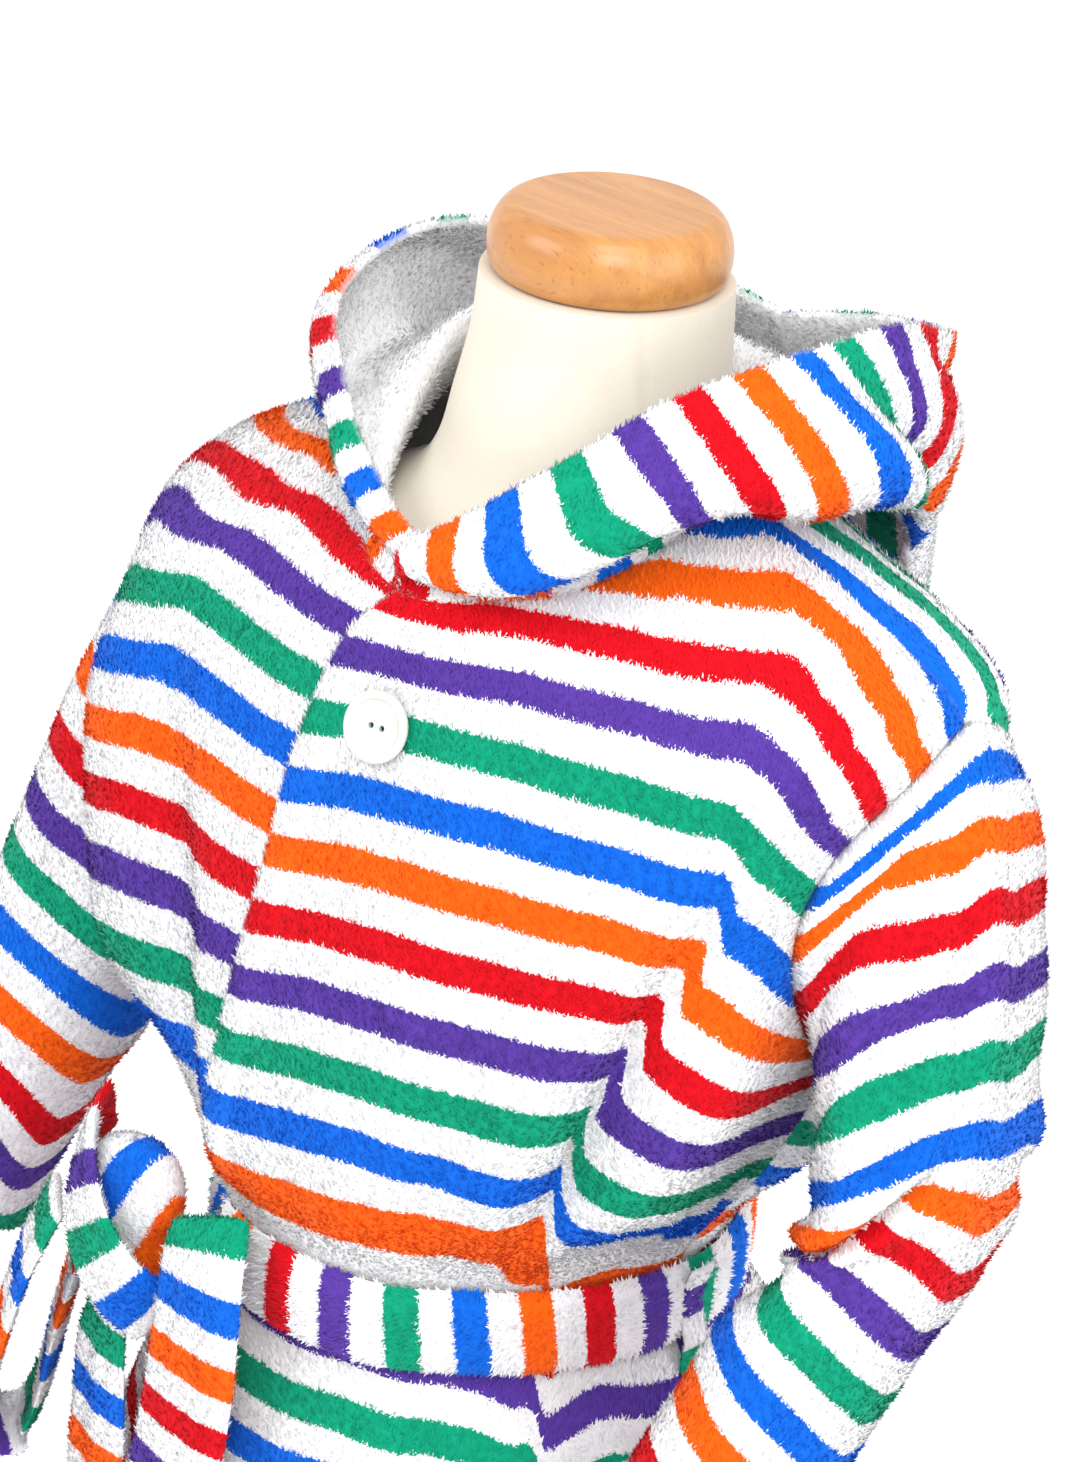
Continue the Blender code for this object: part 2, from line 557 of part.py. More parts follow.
# ---------------------------------------------------------------- hood
def hood_half(name, table, side, edge_name):
    """Half of the hood: the seam on the neckline, the roll over the shoulder and the rim."""
    edge = front_edge_angle(edge_name)[-1] * side
    front = edge + (90 - seam_half_gap(NECKLINE) - edge) * np.linspace(0, 1, FRONT_COLUMNS + 1)
    back_start = 90 + seam_half_gap(NECKLINE)
    back_end = 180 - HOOD_MIDDLE_GAP
    back = back_start + (back_end - back_start) * np.linspace(0, 1, BACK_COLUMNS // 2 + 1)[1:]
    angle = np.concatenate([front, back])
    station = np.interp(angle, column(table, HOOD_COLUMNS, "angle"), np.arange(len(table)))
    section = {part: smooth(column(table, HOOD_COLUMNS, part), station)
               for part in HOOD_COLUMNS[1:]}
    lift = overlap_lift(angle) if side > 0 else np.zeros_like(angle)
    seam = on_body(angle * side, np.full_like(angle, NECKLINE), lift)
    outward = body_normal(angle * side, np.full_like(angle, NECKLINE))
    below = on_body(angle * side, np.full_like(angle, NECKLINE - HOOD_ROW_STEP), lift)
    rise = (seam - below) / np.linalg.norm(seam - below, axis=-1, keepdims=True)
    first = seam + rise * GAP * 2
    turn = np.radians(angle)
    direction = np.stack([side * np.sin(turn), -np.cos(turn)], -1)
    controls = [first]
    for part in ("knee", "lay", "fold", "crest", "rim"):
        reach = section[part + "_r"][:, None]
        controls.append(np.concatenate([direction * reach, section[part + "_z"][:, None]], -1))
    controls = np.array(controls)
    controls[1:, -1, 0] = first[-1, 0]
    places = [0.0]
    for start, steps in enumerate(HOOD_SECTION_STEPS):
        places += [start + (step + 1) / steps for step in range(steps)]
    outside = np.array([smooth(controls, place) for place in places])
    normal = grid_normals(outside) * side
    inside = outside - normal * TERRY
    inside[0] = first - outward * TERRY
    inside[:, -1, 0] = outside[:, -1, 0]
    cloth_wall(name, outside, inside, "terry")


# ---------------------------------------------------------------- belt, loops and button
def make_belt():
    """The belt lies on the panels' own points, so it keeps one distance from them."""
    rows = GRID_ROWS[(GRID_ROWS >= BELT_LOW) & (GRID_ROWS <= BELT_HIGH)]
    share = np.linspace(0, 1, FRONT_COLUMNS + 1)
    edge = FRONT_EDGES[BELT_LOW][1]
    left = edge + (90 - edge) * share
    right = -90 + (90 + FRONT_EDGES[BELT_LOW][2]) * share
    right = right[(right > right[0]) & (right < edge - BELT_LAP_CLEAR)]
    back = np.linspace(90, 270, BACK_COLUMNS + 1)[1:]
    angle = np.concatenate([left, back, right])
    cover = np.concatenate([overlap_lift(left), np.zeros(len(back) + len(right))])
    angle, row = np.meshgrid(angle, rows)
    near = np.repeat(cover[None, :], len(rows), axis=0) + BELT_STAND
    crown = BELT_CLOTH + BELT_CROWN * np.sin(math.pi * (row - BELT_LOW) / (BELT_HIGH - BELT_LOW))
    cloth_wall("belt_waist", on_body(angle, row, near + crown), on_body(angle, row, near), "belt",
               round_again=True)


def make_belt_loops():
    for name, side in (("belt_loop_left", 1), ("belt_loop_right", -1)):
        across = np.degrees(LOOP_WIDTH / 2 / BODY_ROWS[BELT_LOW][4])
        rows = np.linspace(*LOOP_ROWS, 9)
        stand = BELT_STAND + BELT_CLOTH + BELT_CROWN + LOOP_STAND
        lift = LOOP_STAND + stand * ramp(rows, LOOP_ROWS[0] + 0.05, BELT_LOW - 0.06)
        angle, row = np.meshgrid((90 + np.array([-across, 0, across])) * side, rows)
        lift = np.repeat(lift[:, None], 3, axis=1)
        cloth_wall(name, on_body(angle, row, lift + LOOP_THICK), on_body(angle, row, lift), "terry")


def make_button():
    """A two-hole button with a raised rim, lying on the left front at centre front."""
    profile = [(out * BUTTON_RADIUS, up * BUTTON_THICK) for out, up in BUTTON_PROFILE]
    button = turned("button", profile, "button", BUTTON_ROUND)
    for side in (-1, 1):
        bpy.ops.mesh.primitive_cylinder_add(
            vertices=BUTTON_HOLE_ROUND, radius=BUTTON_HOLE_RADIUS * MM,
            depth=BUTTON_THICK * 4 * MM, location=(side * BUTTON_HOLE_SPACING / 2 * MM, 0, 0))
        drill = bpy.context.object
        drill.name = "button_drill_%d" % (side + 1)
        drill.hide_render = True
        drill.display_type = "WIRE"
        cut = button.modifiers.new("hole", "BOOLEAN")
        cut.object = drill
        cut.operation = "DIFFERENCE"
        drill.parent = button
    row = np.interp(BUTTON_Z, column(BODY_ROWS, BODY_COLUMNS, "front_z"), np.arange(len(BODY_ROWS)))
    place = on_body(BUTTON_ANGLE, row, OVERLAP_LIFT + BUTTON_STAND)
    outward = body_normal(BUTTON_ANGLE, row)
    lean = math.atan2(outward[2], -outward[1])
    button.location = (place + NECK_AXIS) * MM
    button.rotation_euler = (math.pi / 2 - lean, 0, math.radians(BUTTON_TURN))


# ---------------------------------------------------------------- knot, bow and tails
def band(name, table):
    """A flat stretch of the belt along a smooth path: its middle, its width and its lean."""
    places = np.linspace(0, len(table) - 1, BAND_STEPS * (len(table) - 1) + 1)
    line = {part: smooth(column(table, BAND_COLUMNS, part), places) for part in BAND_COLUMNS}
    middle = np.stack([line["x"], line["y"], line["z"]], -1)
    way = np.gradient(middle, axis=0)
    way = way / np.linalg.norm(way, axis=-1, keepdims=True)
    turn = np.radians(line["facing"])
    level = np.stack([np.cos(turn), np.sin(turn), np.zeros_like(turn)], -1)
    breadth = level - way * np.sum(level * way, axis=-1, keepdims=True)
    breadth = breadth / np.linalg.norm(breadth, axis=-1, keepdims=True)
    outward = np.cross(way, breadth)
    across = np.array(BAND_ACROSS)
    crown = BAND_CROWN * (1 - (2 * across) ** 2)
    points = (middle[:, None] + breadth[:, None] * (line["width"][:, None] * across)[..., None]
              + outward[:, None] * crown[None, :, None])
    half = outward[:, None] * BELT_CLOTH / 2
    cloth_wall(name, points + half, points - half, "belt")


def make_knot():
    """The knot is a lump of crossed band, pinched at the waist."""
    turn = np.arange(KNOT_ROUND) * 2 * math.pi / KNOT_ROUND
    crease = np.ones(KNOT_ROUND)
    for line in KNOT_CREASES:
        each = dict(zip(KNOT_CREASE_COLUMNS, line))
        crease -= each["depth"] * np.exp(-((turn - each["turn"]) / each["width"]) ** 2)
    rings = []
    for level in np.linspace(-KNOT_END, KNOT_END, KNOT_RINGS):
        size = (1 - abs(level) ** KNOT_SQUARE) ** (1 / KNOT_SQUARE)
        pinch = 1 - KNOT_PINCH * math.exp(-(level / KNOT_PINCH_WIDTH) ** 2)
        rings.append(np.stack([
            KNOT_CENTRE[0] + KNOT_HALF[0] * size * pinch * crease * np.cos(turn) + KNOT_LEAN * level,
            KNOT_CENTRE[1] + KNOT_HALF[1] * size * crease * np.sin(turn),
            KNOT_CENTRE[2] + np.full(KNOT_ROUND, KNOT_HALF[2] * level)], -1))
    stacked_rings("belt_knot", np.array(rings), "belt")


def make_bow():
    band("belt_tail_front", TAIL_FRONT)
    band("belt_tail_back", TAIL_BACK)
    band("belt_bow", BOW)


# ---------------------------------------------------------------- dress form and stand
def make_form():
    turn = np.arange(FORM_ROUND) * 2 * math.pi / FORM_ROUND
    side, ahead = np.sin(turn), np.cos(turn)
    rings = []
    for line in FORM_ROWS:
        ring = dict(zip(FORM_COLUMNS, line))
        depth = np.where(ahead > 0, ring["side_y"] - ring["front_y"], ring["back_y"] - ring["side_y"])
        power = ring["square"]
        reach = ((np.abs(side) / ring["half_width"]) ** power
                 + (np.abs(ahead) / depth) ** power) ** (-1 / power)
        rings.append(np.stack([reach * side, ring["side_y"] - reach * ahead,
                               np.full(FORM_ROUND, ring["z"])], -1))
    stacked_rings("form_torso", np.array(rings), "form_cover")


def make_cap():
    profile = [(CAP_RADIUS * out, CAP_FOOT_Z + up) for out, up in CAP_FOOT_PROFILE]
    for step in range(CAP_TOP_STEPS + 1):
        bend = math.pi / 2 * step / CAP_TOP_STEPS
        profile.append((CAP_RADIUS - CAP_TOP_ROUND + CAP_TOP_ROUND * math.cos(bend),
                        CAP_FOOT_Z + CAP_WIDEST + (CAP_THICK - CAP_WIDEST) * math.sin(bend)))
    turned("neck_cap", profile, "cap_wood")


def make_stand():
    form_foot = FORM_ROWS[0][0]
    turned("stand_pole", ((POLE_RADIUS, BASE_HUB_HEIGHT + GAP), (POLE_RADIUS, form_foot - GAP)),
           "stand", POLE_ROUND)
    profile = [(BASE_RADIUS - inward, up) for inward, up in BASE_PLATE]
    profile += [(BASE_HUB_RADIUS + out, up) for out, up in BASE_HUB]
    turned("stand_base", profile, "stand")


for old in list(bpy.data.objects):
    bpy.data.objects.remove(old, do_unlink=True)
make_body()
make_sleeve("sleeve_left", LEFT_SLEEVE, 1, LEFT_SLEEVE_FOLDS)
make_sleeve("sleeve_right", RIGHT_SLEEVE, -1, RIGHT_SLEEVE_FOLDS)
hood_half("hood_left", HOOD_LEFT, 1, "left_edge")
hood_half("hood_right", HOOD_RIGHT, -1, "right_edge")
make_belt()
make_belt_loops()
make_knot()
make_bow()
make_button()
make_form()
make_cap()
make_stand()
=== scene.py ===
"""The looks of a child's hooded terry bathrobe on a dress form.

Places are in millimetres from the neck's axis, and become metres in the model's frame.
The robe's front looks along -Y and the wearer's left is +X.
"""
import math

import bmesh
import bpy
import numpy as np
from mathutils import Matrix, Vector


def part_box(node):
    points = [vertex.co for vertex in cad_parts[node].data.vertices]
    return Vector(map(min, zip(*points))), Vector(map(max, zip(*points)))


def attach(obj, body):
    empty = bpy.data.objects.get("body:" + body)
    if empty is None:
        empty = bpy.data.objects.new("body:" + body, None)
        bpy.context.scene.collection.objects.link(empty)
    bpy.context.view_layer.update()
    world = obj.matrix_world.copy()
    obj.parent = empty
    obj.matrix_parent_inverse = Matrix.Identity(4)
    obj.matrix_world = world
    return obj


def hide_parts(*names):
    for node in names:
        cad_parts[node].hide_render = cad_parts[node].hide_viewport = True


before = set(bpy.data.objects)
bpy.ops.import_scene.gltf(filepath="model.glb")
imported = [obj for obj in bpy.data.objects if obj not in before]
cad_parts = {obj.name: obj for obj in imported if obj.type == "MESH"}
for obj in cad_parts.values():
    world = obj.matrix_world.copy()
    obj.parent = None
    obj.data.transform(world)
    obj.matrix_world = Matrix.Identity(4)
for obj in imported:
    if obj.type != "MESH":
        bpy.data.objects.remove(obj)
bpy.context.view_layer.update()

# ---------------------------------------------------------------- fronts and back
# The body is two fronts and one back cut from striped terry, seamed at the sides and the
# shoulders.  The left front laps over the right one; the belt draws the cloth in, so the
# bodice hangs full above it and the skirt flares in gathers below.
MM = 0.001
cap_low, cap_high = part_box("neck_cap")
NECK_AXIS = np.array([(cap_low[0] + cap_high[0]) / 2, (cap_low[1] + cap_high[1]) / 2, 0.0])
TERRY = 3.0
OVERLAP_LIFT = 4.2
BODY_COLUMNS = (
    "row", "front_z", "side_z", "back_z", "half_width", "front_y", "side_y", "back_y", "square")
BODY_ROWS = (
    ("hem", 250, 250, 250, 206, -188, -12, 165, 2.0),
    ("thigh", 430, 430, 430, 182, -177, -12, 144, 2.0),
    ("hip", 580, 580, 580, 157, -166, -12, 122, 2.1),
    ("under_belt", 655, 648, 652, 127, -156, -12, 101, 2.2),
    ("belt_low", 694, 682, 690, 102, -146, -12, 81, 2.2),
    ("belt_high", 735, 721, 730, 102, -147, -12, 81, 2.2),
    ("blouse", 774, 780, 772, 138, -160, -10, 103, 2.2),
    ("armpit", 845, 838, 846, 163, -154, -5, 114, 2.5),
    ("chest", 900, 896, 905, 178, -142, 0, 114, 2.6),
    ("upper_chest", 948, 953, 962, 193, -130, 4, 106, 2.6),
    ("tip", 983, 1003, 1008, 198, -119, 9, 91, 2.5),
    ("slope", 1003, 1036, 1039, 139, -113, 8, 77, 2.2),
    ("neckline", 1020, 1066, 1062, 80, -107, 5, 62, 2.0),
)
ROW_NAMES = [line[0] for line in BODY_ROWS]
BELT_LOW, BELT_HIGH = ROW_NAMES.index("belt_low"), ROW_NAMES.index("belt_high")
ARMPIT, TIP = ROW_NAMES.index("armpit"), ROW_NAMES.index("tip")
NECKLINE = ROW_NAMES.index("neckline")
EDGE_COLUMNS = ("row", "left_edge", "right_edge")
FRONT_EDGES = (
    ("hem", -17, 15), ("thigh", -18, 16), ("hip", -18, 16), ("under_belt", -18, 16),
    ("belt_low", -19, 16), ("belt_high", -19, 16), ("blouse", -17, 15), ("armpit", -14, 12),
    ("chest", -13, 11), ("upper_chest", -13, 11), ("tip", -11, 8), ("slope", -8, 5),
    ("neckline", -1.2, 0.8),
)
NORMAL_ANGLE, NORMAL_ROW = 0.4, 0.02     # the steps over which the cloth's slope is taken
ARMHOLE_FRONT = 19.0
ARMHOLE_BACK = 17.0
CLOTH_STEPS = (30, 26, 14, 8, 6, 14, 18, 15, 14, 13, 10, 9)     # grid rows between rings
FRONT_COLUMNS = 66
BACK_COLUMNS = 128
FOLD_COLUMNS = ("top_angle", "top_z", "foot_angle", "foot_z", "width", "height", "open_foot")
FOLD_GROWS_BY = 0.45
FOLD_FADES_FROM = 0.72
BODY_FOLDS = (
    # the skirt flares from the belt in uneven gathers down to the hem
    (-167, 706, -171, 250, 7, 18, 1), (-143, 700, -148, 250, 7, 14, 1),
    (-118, 704, -122, 250, 8, 19, 1),
    (-94, 698, -97, 250, 7, 15, 1), (-72, 704, -74, 250, 7, 17, 1), (-47, 700, -49, 250, 6, 13, 1),
    (24, 690, 25, 250, 5, 8, 1), (47, 706, 48, 250, 6, 15, 1), (71, 704, 73, 250, 7, 17, 1),
    (94, 698, 97, 250, 7, 14, 1), (118, 704, 122, 250, 8, 18, 1), (143, 700, 146, 250, 7, 16, 1),
    (168, 706, 170, 250, 6, 13, 1), (36, 690, 36, 250, 4, -7, 1), (60, 690, 61, 250, 5, -8, 1),
    (-59, 690, -61, 250, 5, -8, 1), (-83, 690, -85, 250, 5, -7, 1), (-106, 690, -109, 250, 5, -8, 1),
    (-131, 690, -135, 250, 5, -8, 1), (106, 690, 109, 250, 5, -8, 1), (131, 690, 134, 250, 5, -8, 1),
    # the left front drops from the armhole, creases and rolls over the belt
    (68, 900, 62, 748, 11, 12, 0), (60, 945, 43, 744, 4.5, -9, 0), (69, 935, 54, 744, 7, 9, 0),
    (48, 930, 33, 744, 7, 4, 0),
    # the right front swells beside the armhole and is drawn in towards the knot
    (-60, 1020, -54, 748, 15, 30, 0), (-47, 1000, -31, 748, 5, -9, 0), (-38, 930, -24, 748, 5, -6, 0),
    # gathers over the belt round the back
    (-104, 870, -98, 744, 7, 9, 0), (-128, 890, -122, 744, 8, 11, 0), (-152, 870, -147, 744, 7, 9, 0),
    (178, 880, 178, 744, 8, 8, 0), (151, 890, 147, 744, 8, 11, 0), (126, 870, 121, 744, 7, 9, 0),
    (103, 880, 98, 744, 7, 9, 0), (-140, 850, -135, 744, 5, -6, 0), (138, 860, 134, 744, 5, -6, 0),
    # slack under each arm on the back
    (102, 985, 114, 860, 8, 7, 0), (-102, 985, -114, 860, 8, 7, 0),
)
# Finer creases, seen from close by: the same columns.
BODY_CREASES = (
    (60, 950, 43, 742, 2.2, -5, 0), (30, 830, 22, 746, 3.0, -2.2, 0), (14, 812, 12, 744, 3.2, 1.8, 0),
    (2, 800, 2, 744, 2.6, -1.6, 0),
    (51, 800, 47, 742, 2.6, 2.6, 0), (39, 812, 36, 742, 2.6, 2.2, 0), (62, 820, 57, 742, 3.0, -2.6, 0),
    (76, 800, 72, 742, 3.2, 3.0, 0), (84, 800, 82, 742, 3.0, -2.4, 0),
    (-14, 820, -13, 744, 3.0, 2.0, 0), (-52, 850, -46, 746, 3.4, 3.0, 0), (-66, 840, -62, 744, 3.4, -3.0, 0),
    (-78, 830, -74, 744, 3.4, 3.0, 0), (-25, 900, -19, 748, 3.2, 2.2, 0),
    (112, 830, 110, 742, 3.0, -3.0, 0), (158, 820, 157, 742, 3.2, 3.2, 0),
    (170, 830, 169, 742, 3.0, -2.8, 0),
    (-172, 830, -170, 742, 3.0, -2.8, 0), (-160, 815, -158, 742, 3.2, 3.0, 0),
    (-114, 830, -111, 742, 3.0, -3.0, 0),
    (6, 690, 5, 470, 2.6, 2.2, 0), (40, 692, 41, 520, 2.2, 2.4, 0), (30, 690, 29, 560, 2.0, -2.0, 0),
    (54, 690, 55, 500, 2.4, 2.0, 0), (84, 690, 86, 430, 2.8, -2.6, 0), (-30, 690, -31, 420, 3.0, -2.8, 0),
    (-38, 690, -38, 500, 2.4, 2.2, 0), (155, 690, 158, 420, 3.0, -3.0, 0),
    (-155, 690, -158, 420, 3.0, -3.0, 0),
    (180, 690, 180, 400, 3.0, -2.6, 0),
)


def column(table, names, name):
    return np.array([line[names.index(name)] for line in table], float)


def smooth(values, place):
    """Values of a table column at fractional rows, on a smooth curve through them all."""
    values = np.asarray(values, float)
    place = np.clip(np.asarray(place, float), 0, len(values) - 1)
    low = np.minimum(np.floor(place).astype(int), len(values) - 2)
    part = (place - low).reshape(place.shape + (1,) * (values.ndim - 1))
    before, first = values[np.maximum(low - 1, 0)], values[low]
    second, after = values[low + 1], values[np.minimum(low + 2, len(values) - 1)]
    slope_first, slope_second = 0.5 * (second - before), 0.5 * (after - first)
    square = part * part
    cube = square * part
    return ((2 * cube - 3 * square + 1) * first + (cube - 2 * square + part) * slope_first
            + (3 * square - 2 * cube) * second + (cube - square) * slope_second)


def ramp(value, low, high):
    part = np.clip((value - low) / (high - low), 0, 1)
    return part * part * (3 - 2 * part)


def bell(off, width):
    return np.exp(-(off / width) ** 2)


def wrapped(angle):
    """Degrees brought between -180 and 180."""
    return (angle + 180) % 360 - 180


def unit(vectors):
    return vectors / np.maximum(np.linalg.norm(vectors, axis=-1, keepdims=True), 1e-9)


def run_lengths(points):
    """Lengths from the first point on, down each line of a grid of points."""
    steps = np.linalg.norm(np.diff(points, axis=0), axis=-1)
    return np.concatenate([np.zeros((1,) + steps.shape[1:]), np.cumsum(steps, axis=0)])


def ring_reach(ring, side, ahead):
    """How far a ring reaches from its centre: rounded, and deeper in front than behind."""
    depth = np.where(ahead > 0, ring["side_y"] - ring["front_y"], ring["back_y"] - ring["side_y"])
    power = ring["square"]
    return ((np.abs(side) / ring["half_width"]) ** power
            + (np.abs(ahead) / depth) ** power) ** (-1 / power)


def fold_height(angle, height):
    """How far the folds and creases push the cloth out at an angle and a height."""
    total = np.zeros(np.shape(angle))
    for line in BODY_FOLDS + BODY_CREASES:
        fold = dict(zip(FOLD_COLUMNS, line))
        share = (fold["top_z"] - height) / (fold["top_z"] - fold["foot_z"])
        drift = (fold["foot_angle"] - fold["top_angle"]) * np.clip(share, 0, 1)
        off = wrapped(angle - fold["top_angle"] - drift)
        window = ramp(share, 0, FOLD_GROWS_BY)
        if not fold["open_foot"]:
            window = window * (1 - ramp(share, FOLD_FADES_FROM, 1.0))
        total = total + fold["height"] * window * bell(off, fold["width"])
    return total


def body_point(angle, row):
    """A point of the robe's outer face: angle in degrees from centre front, fractional row."""
    angle, row = np.broadcast_arrays(np.asarray(angle, float), np.asarray(row, float))
    ring = {name: smooth(column(BODY_ROWS, BODY_COLUMNS, name), row) for name in BODY_COLUMNS[1:]}
    turn = np.radians(angle)
    side, ahead = np.sin(turn), np.cos(turn)
    end_z = np.where(ahead > 0, ring["front_z"], ring["back_z"])
    height = ring["side_z"] + (end_z - ring["side_z"]) * np.abs(ahead) ** 1.4
    reach = ring_reach(ring, side, ahead) + fold_height(angle, height)
    return np.stack([reach * side, ring["side_y"] - reach * ahead, height], -1)


def body_normal(angle, row):
    angle, row = np.asarray(angle), np.asarray(row, float)
    across = body_point(angle + NORMAL_ANGLE, row) - body_point(angle - NORMAL_ANGLE, row)
    along = (body_point(angle, np.minimum(row + NORMAL_ROW, NECKLINE))
             - body_point(angle, np.maximum(row - NORMAL_ROW, 0)))
    return unit(np.cross(across, along))


def overlap_lift(angle):
    """The left front lifts over the right one near centre front."""
    return OVERLAP_LIFT * (1 - ramp(np.asarray(angle, float), 19, 33))


def armhole_bite(row, depth):
    share = np.clip((np.asarray(row, float) - ARMPIT) / (TIP - ARMPIT), 0, 1)
    return depth * np.sin(math.pi * share) ** 0.7


def stepped(counts):
    """Fractional rows with a given count of steps from each whole row to the next."""
    rows = [0.0]
    for start, steps in enumerate(counts):
        rows += [start + (step + 1) / steps for step in range(steps)]
    return np.array(rows)


# How the stripes lie: metres of cloth down each line of the body, so they follow the folds.
STRIPE_PITCH = 29.8
STRIPE_REPEAT = STRIPE_PITCH * 5
LEVEL_Z = 850.0              # the length of cloth is counted from this height
ORANGE_AT = -221.0           # an orange stripe's middle lies this far along it
chart_angles = np.arange(-30.0, 331.0)
chart_rows = np.linspace(0, NECKLINE, 481)
chart_points = body_point(chart_angles[:, None], chart_rows[None, :])
chart_length = run_lengths(chart_points.swapaxes(0, 1)).T
for line in range(len(chart_angles)):
    chart_length[line] -= np.interp(LEVEL_Z, chart_points[line, :, 2], chart_length[line])


def cloth_length(angle, row):
    """Millimetres of cloth down from the level line, at an angle and a row."""
    angle, row = np.broadcast_arrays(np.asarray(angle, float), np.asarray(row, float))
    angle = np.where(angle < -30, angle + 360, angle)
    place = np.clip((angle + 30), 0, len(chart_angles) - 1.001)
    low = place.astype(int)
    share = place - low
    step = np.clip(row / NECKLINE * 480, 0, 479.999)
    under = step.astype(int)
    part = step - under
    near = chart_length[low, under] * (1 - part) + chart_length[low, under + 1] * part
    far = chart_length[low + 1, under] * (1 - part) + chart_length[low + 1, under + 1] * part
    return -(near * (1 - share) + far * share)


# How far the cloth has slipped down from level, by height: at angles from centre front, then
# past the long crease beside the armhole, where it drops by a jump and keeps falling away.
SHIFT_ANGLES = (-12, 2, 16, 30, 46, 58)
SHIFT_COLUMNS = ("height", "edge", "near", "middle", "breast", "side", "far",
                 "crease", "jump", "slope", "curve")
LEFT_SHIFTS = (
    (640, 22, 22, 22, 28, 45, 52, 48, 20, 0.0, 0.0),
    (735, 22, 22, 22, 28, 45, 52, 48, 20, 0.0, 0.0),
    (768, 14, 9, 4, 3, 6, 6, 45, 22, 0.2, 0.03),
    (800, 14, 5, 0, 3, 8, 8, 46.5, 22, 0.2, 0.03),
    (831, 15, 6, 1, 2, 2, 3, 48, 24, 0.3, 0.03),
    (861, 16, 6, 2, 1, 0, 6, 52.5, 20, 0.35, 0.08),
    (890, 16, 8, 3, 2, 1, 8, 56, 18, 0.4, 0.12),
    (918, 17, 8, 3, 2, 2, 7, 59, 18, 0.5, 0.12),
    (948, 17, 8, 4, 1, 2, 5, 60, 14, 0.9, 0.10),
    (976, 17, 9, 5, 2, 3, 5, 58, 0, 1.6, 0.12),
    (1003, 18, 14, 10, 3, 2, 3, 60, 0, 1.2, 0.15),
    (1016, 20, 18, 15, 5, 0, -3, 64, 0, 1.2, 0.12),
    (1028, 20, 20, 17, 7, -3, -9, 74, 0, 1.5, 0.10),
    (1042, 20, 20, 18, 8, -5, -20, 79, 0, 1.5, 0.10),
    (1058, 20, 20, 18, 8, -8, -27, 84, 0, 1.5, 0.10),
)
RIGHT_SHIFTS = (
    (640, 22, 22, 22, 24, 26, 30, 60, 0, 0.8, 0.0),
    (735, 22, 22, 22, 24, 26, 30, 60, 0, 0.8, 0.0),
    (800, 8, 8, 8, 11, 20, 26, 56, 0, 0.8, 0.05),
    (861, 6, 6, 6, 8, 8, 20, 56, 0, 1.0, 0.08),
    (918, 5, 5, 5, 4, 6, 20, 56, 0, 1.2, 0.10),
    (976, 6, 6, 5, 3, -2, 12, 58, 0, 1.4, 0.12),
    (1003, 6, 6, 5, 3, -1.5, 3, 60, 0, 0.8, 0.10),
    (1013, 12, 11, 9, 5, -4, 0, 60, 0, 0.8, 0.06),
    (1020, 14, 12, 11, 5.5, -6, -6, 60, 0, 1.2, 0.04),
    (1032, 14, 12, 10, 6, -6, -11, 60, 0, 1.4, 0.03),
    (1058, 14, 12, 10, 6, -8, -16, 62, 0, 1.5, 0.03),
)
JUMP_WIDTH = 3.0             # degrees over which the cloth breaks at the crease
BEND_WIDTH = 8.0             # degrees over which it starts to fall away past it


def stripe_shift(table, angle, height, jumps=1.0):
    heights = column(table, SHIFT_COLUMNS, "height")
    at = {name: np.interp(height, heights, column(table, SHIFT_COLUMNS, name))
          for name in SHIFT_COLUMNS[1:]}
    level = at["edge"]
    for index, name in enumerate(SHIFT_COLUMNS[2:7]):
        low, high = SHIFT_ANGLES[index], SHIFT_ANGLES[index + 1]
        rise = at[name] - at[SHIFT_COLUMNS[index + 1]]
        level = level + rise * np.clip((angle - low) / (high - low), 0, 1)
    past = np.maximum(angle - at["crease"], 0)
    bent = np.where(past < BEND_WIDTH, past ** 2, BEND_WIDTH * (2 * past - BEND_WIDTH))
    return level + jumps * at["jump"] * ramp(past, 0, JUMP_WIDTH) + at["slope"] * past + at["curve"] * bent


def left_drift(angle, height):
    return stripe_shift(LEFT_SHIFTS, angle, height)


def right_drift(angle, height):
    return stripe_shift(RIGHT_SHIFTS, -angle, height)


SHOULDER_MIRROR = 216.0      # the back's cloth falls from the shoulder as the front's does


def back_drift(angle, height):
    turned = np.where(angle > 180, 360 - angle, angle)
    return stripe_shift(LEFT_SHIFTS, np.minimum(turned, SHOULDER_MIRROR - turned), height, 0.0)


def to_frame(points):
    return np.asarray(points, float) * MM + NECK_AXIS


def add_object(name, data):
    piece = bpy.data.objects.new(name, data)
    bpy.context.scene.collection.objects.link(piece)
    return piece


def add_uv_map(mesh, places):
    """The cloth's own UV map, from a place for each point."""
    corner = np.empty(len(mesh.loops), int)
    mesh.loops.foreach_get("vertex_index", corner)
    layer = mesh.uv_layers.new(name="cloth")
    layer.data.foreach_set("uv", np.asarray(places, float)[corner].ravel())


def new_object(name, points, faces, uv=None, values=None):
    """An object at the origin from points in millimetres, with its own cloth UV map."""
    mesh = bpy.data.meshes.new(name)
    mesh.from_pydata([tuple(point) for point in to_frame(points)], [], faces)
    mesh.shade_smooth()
    if uv is not None:
        add_uv_map(mesh, uv)
    for label, numbers in (values or {}).items():
        kept = mesh.attributes.new(label, "FLOAT", "POINT")
        kept.data.foreach_set("value", np.asarray(numbers, float))
    return add_object(name, mesh)


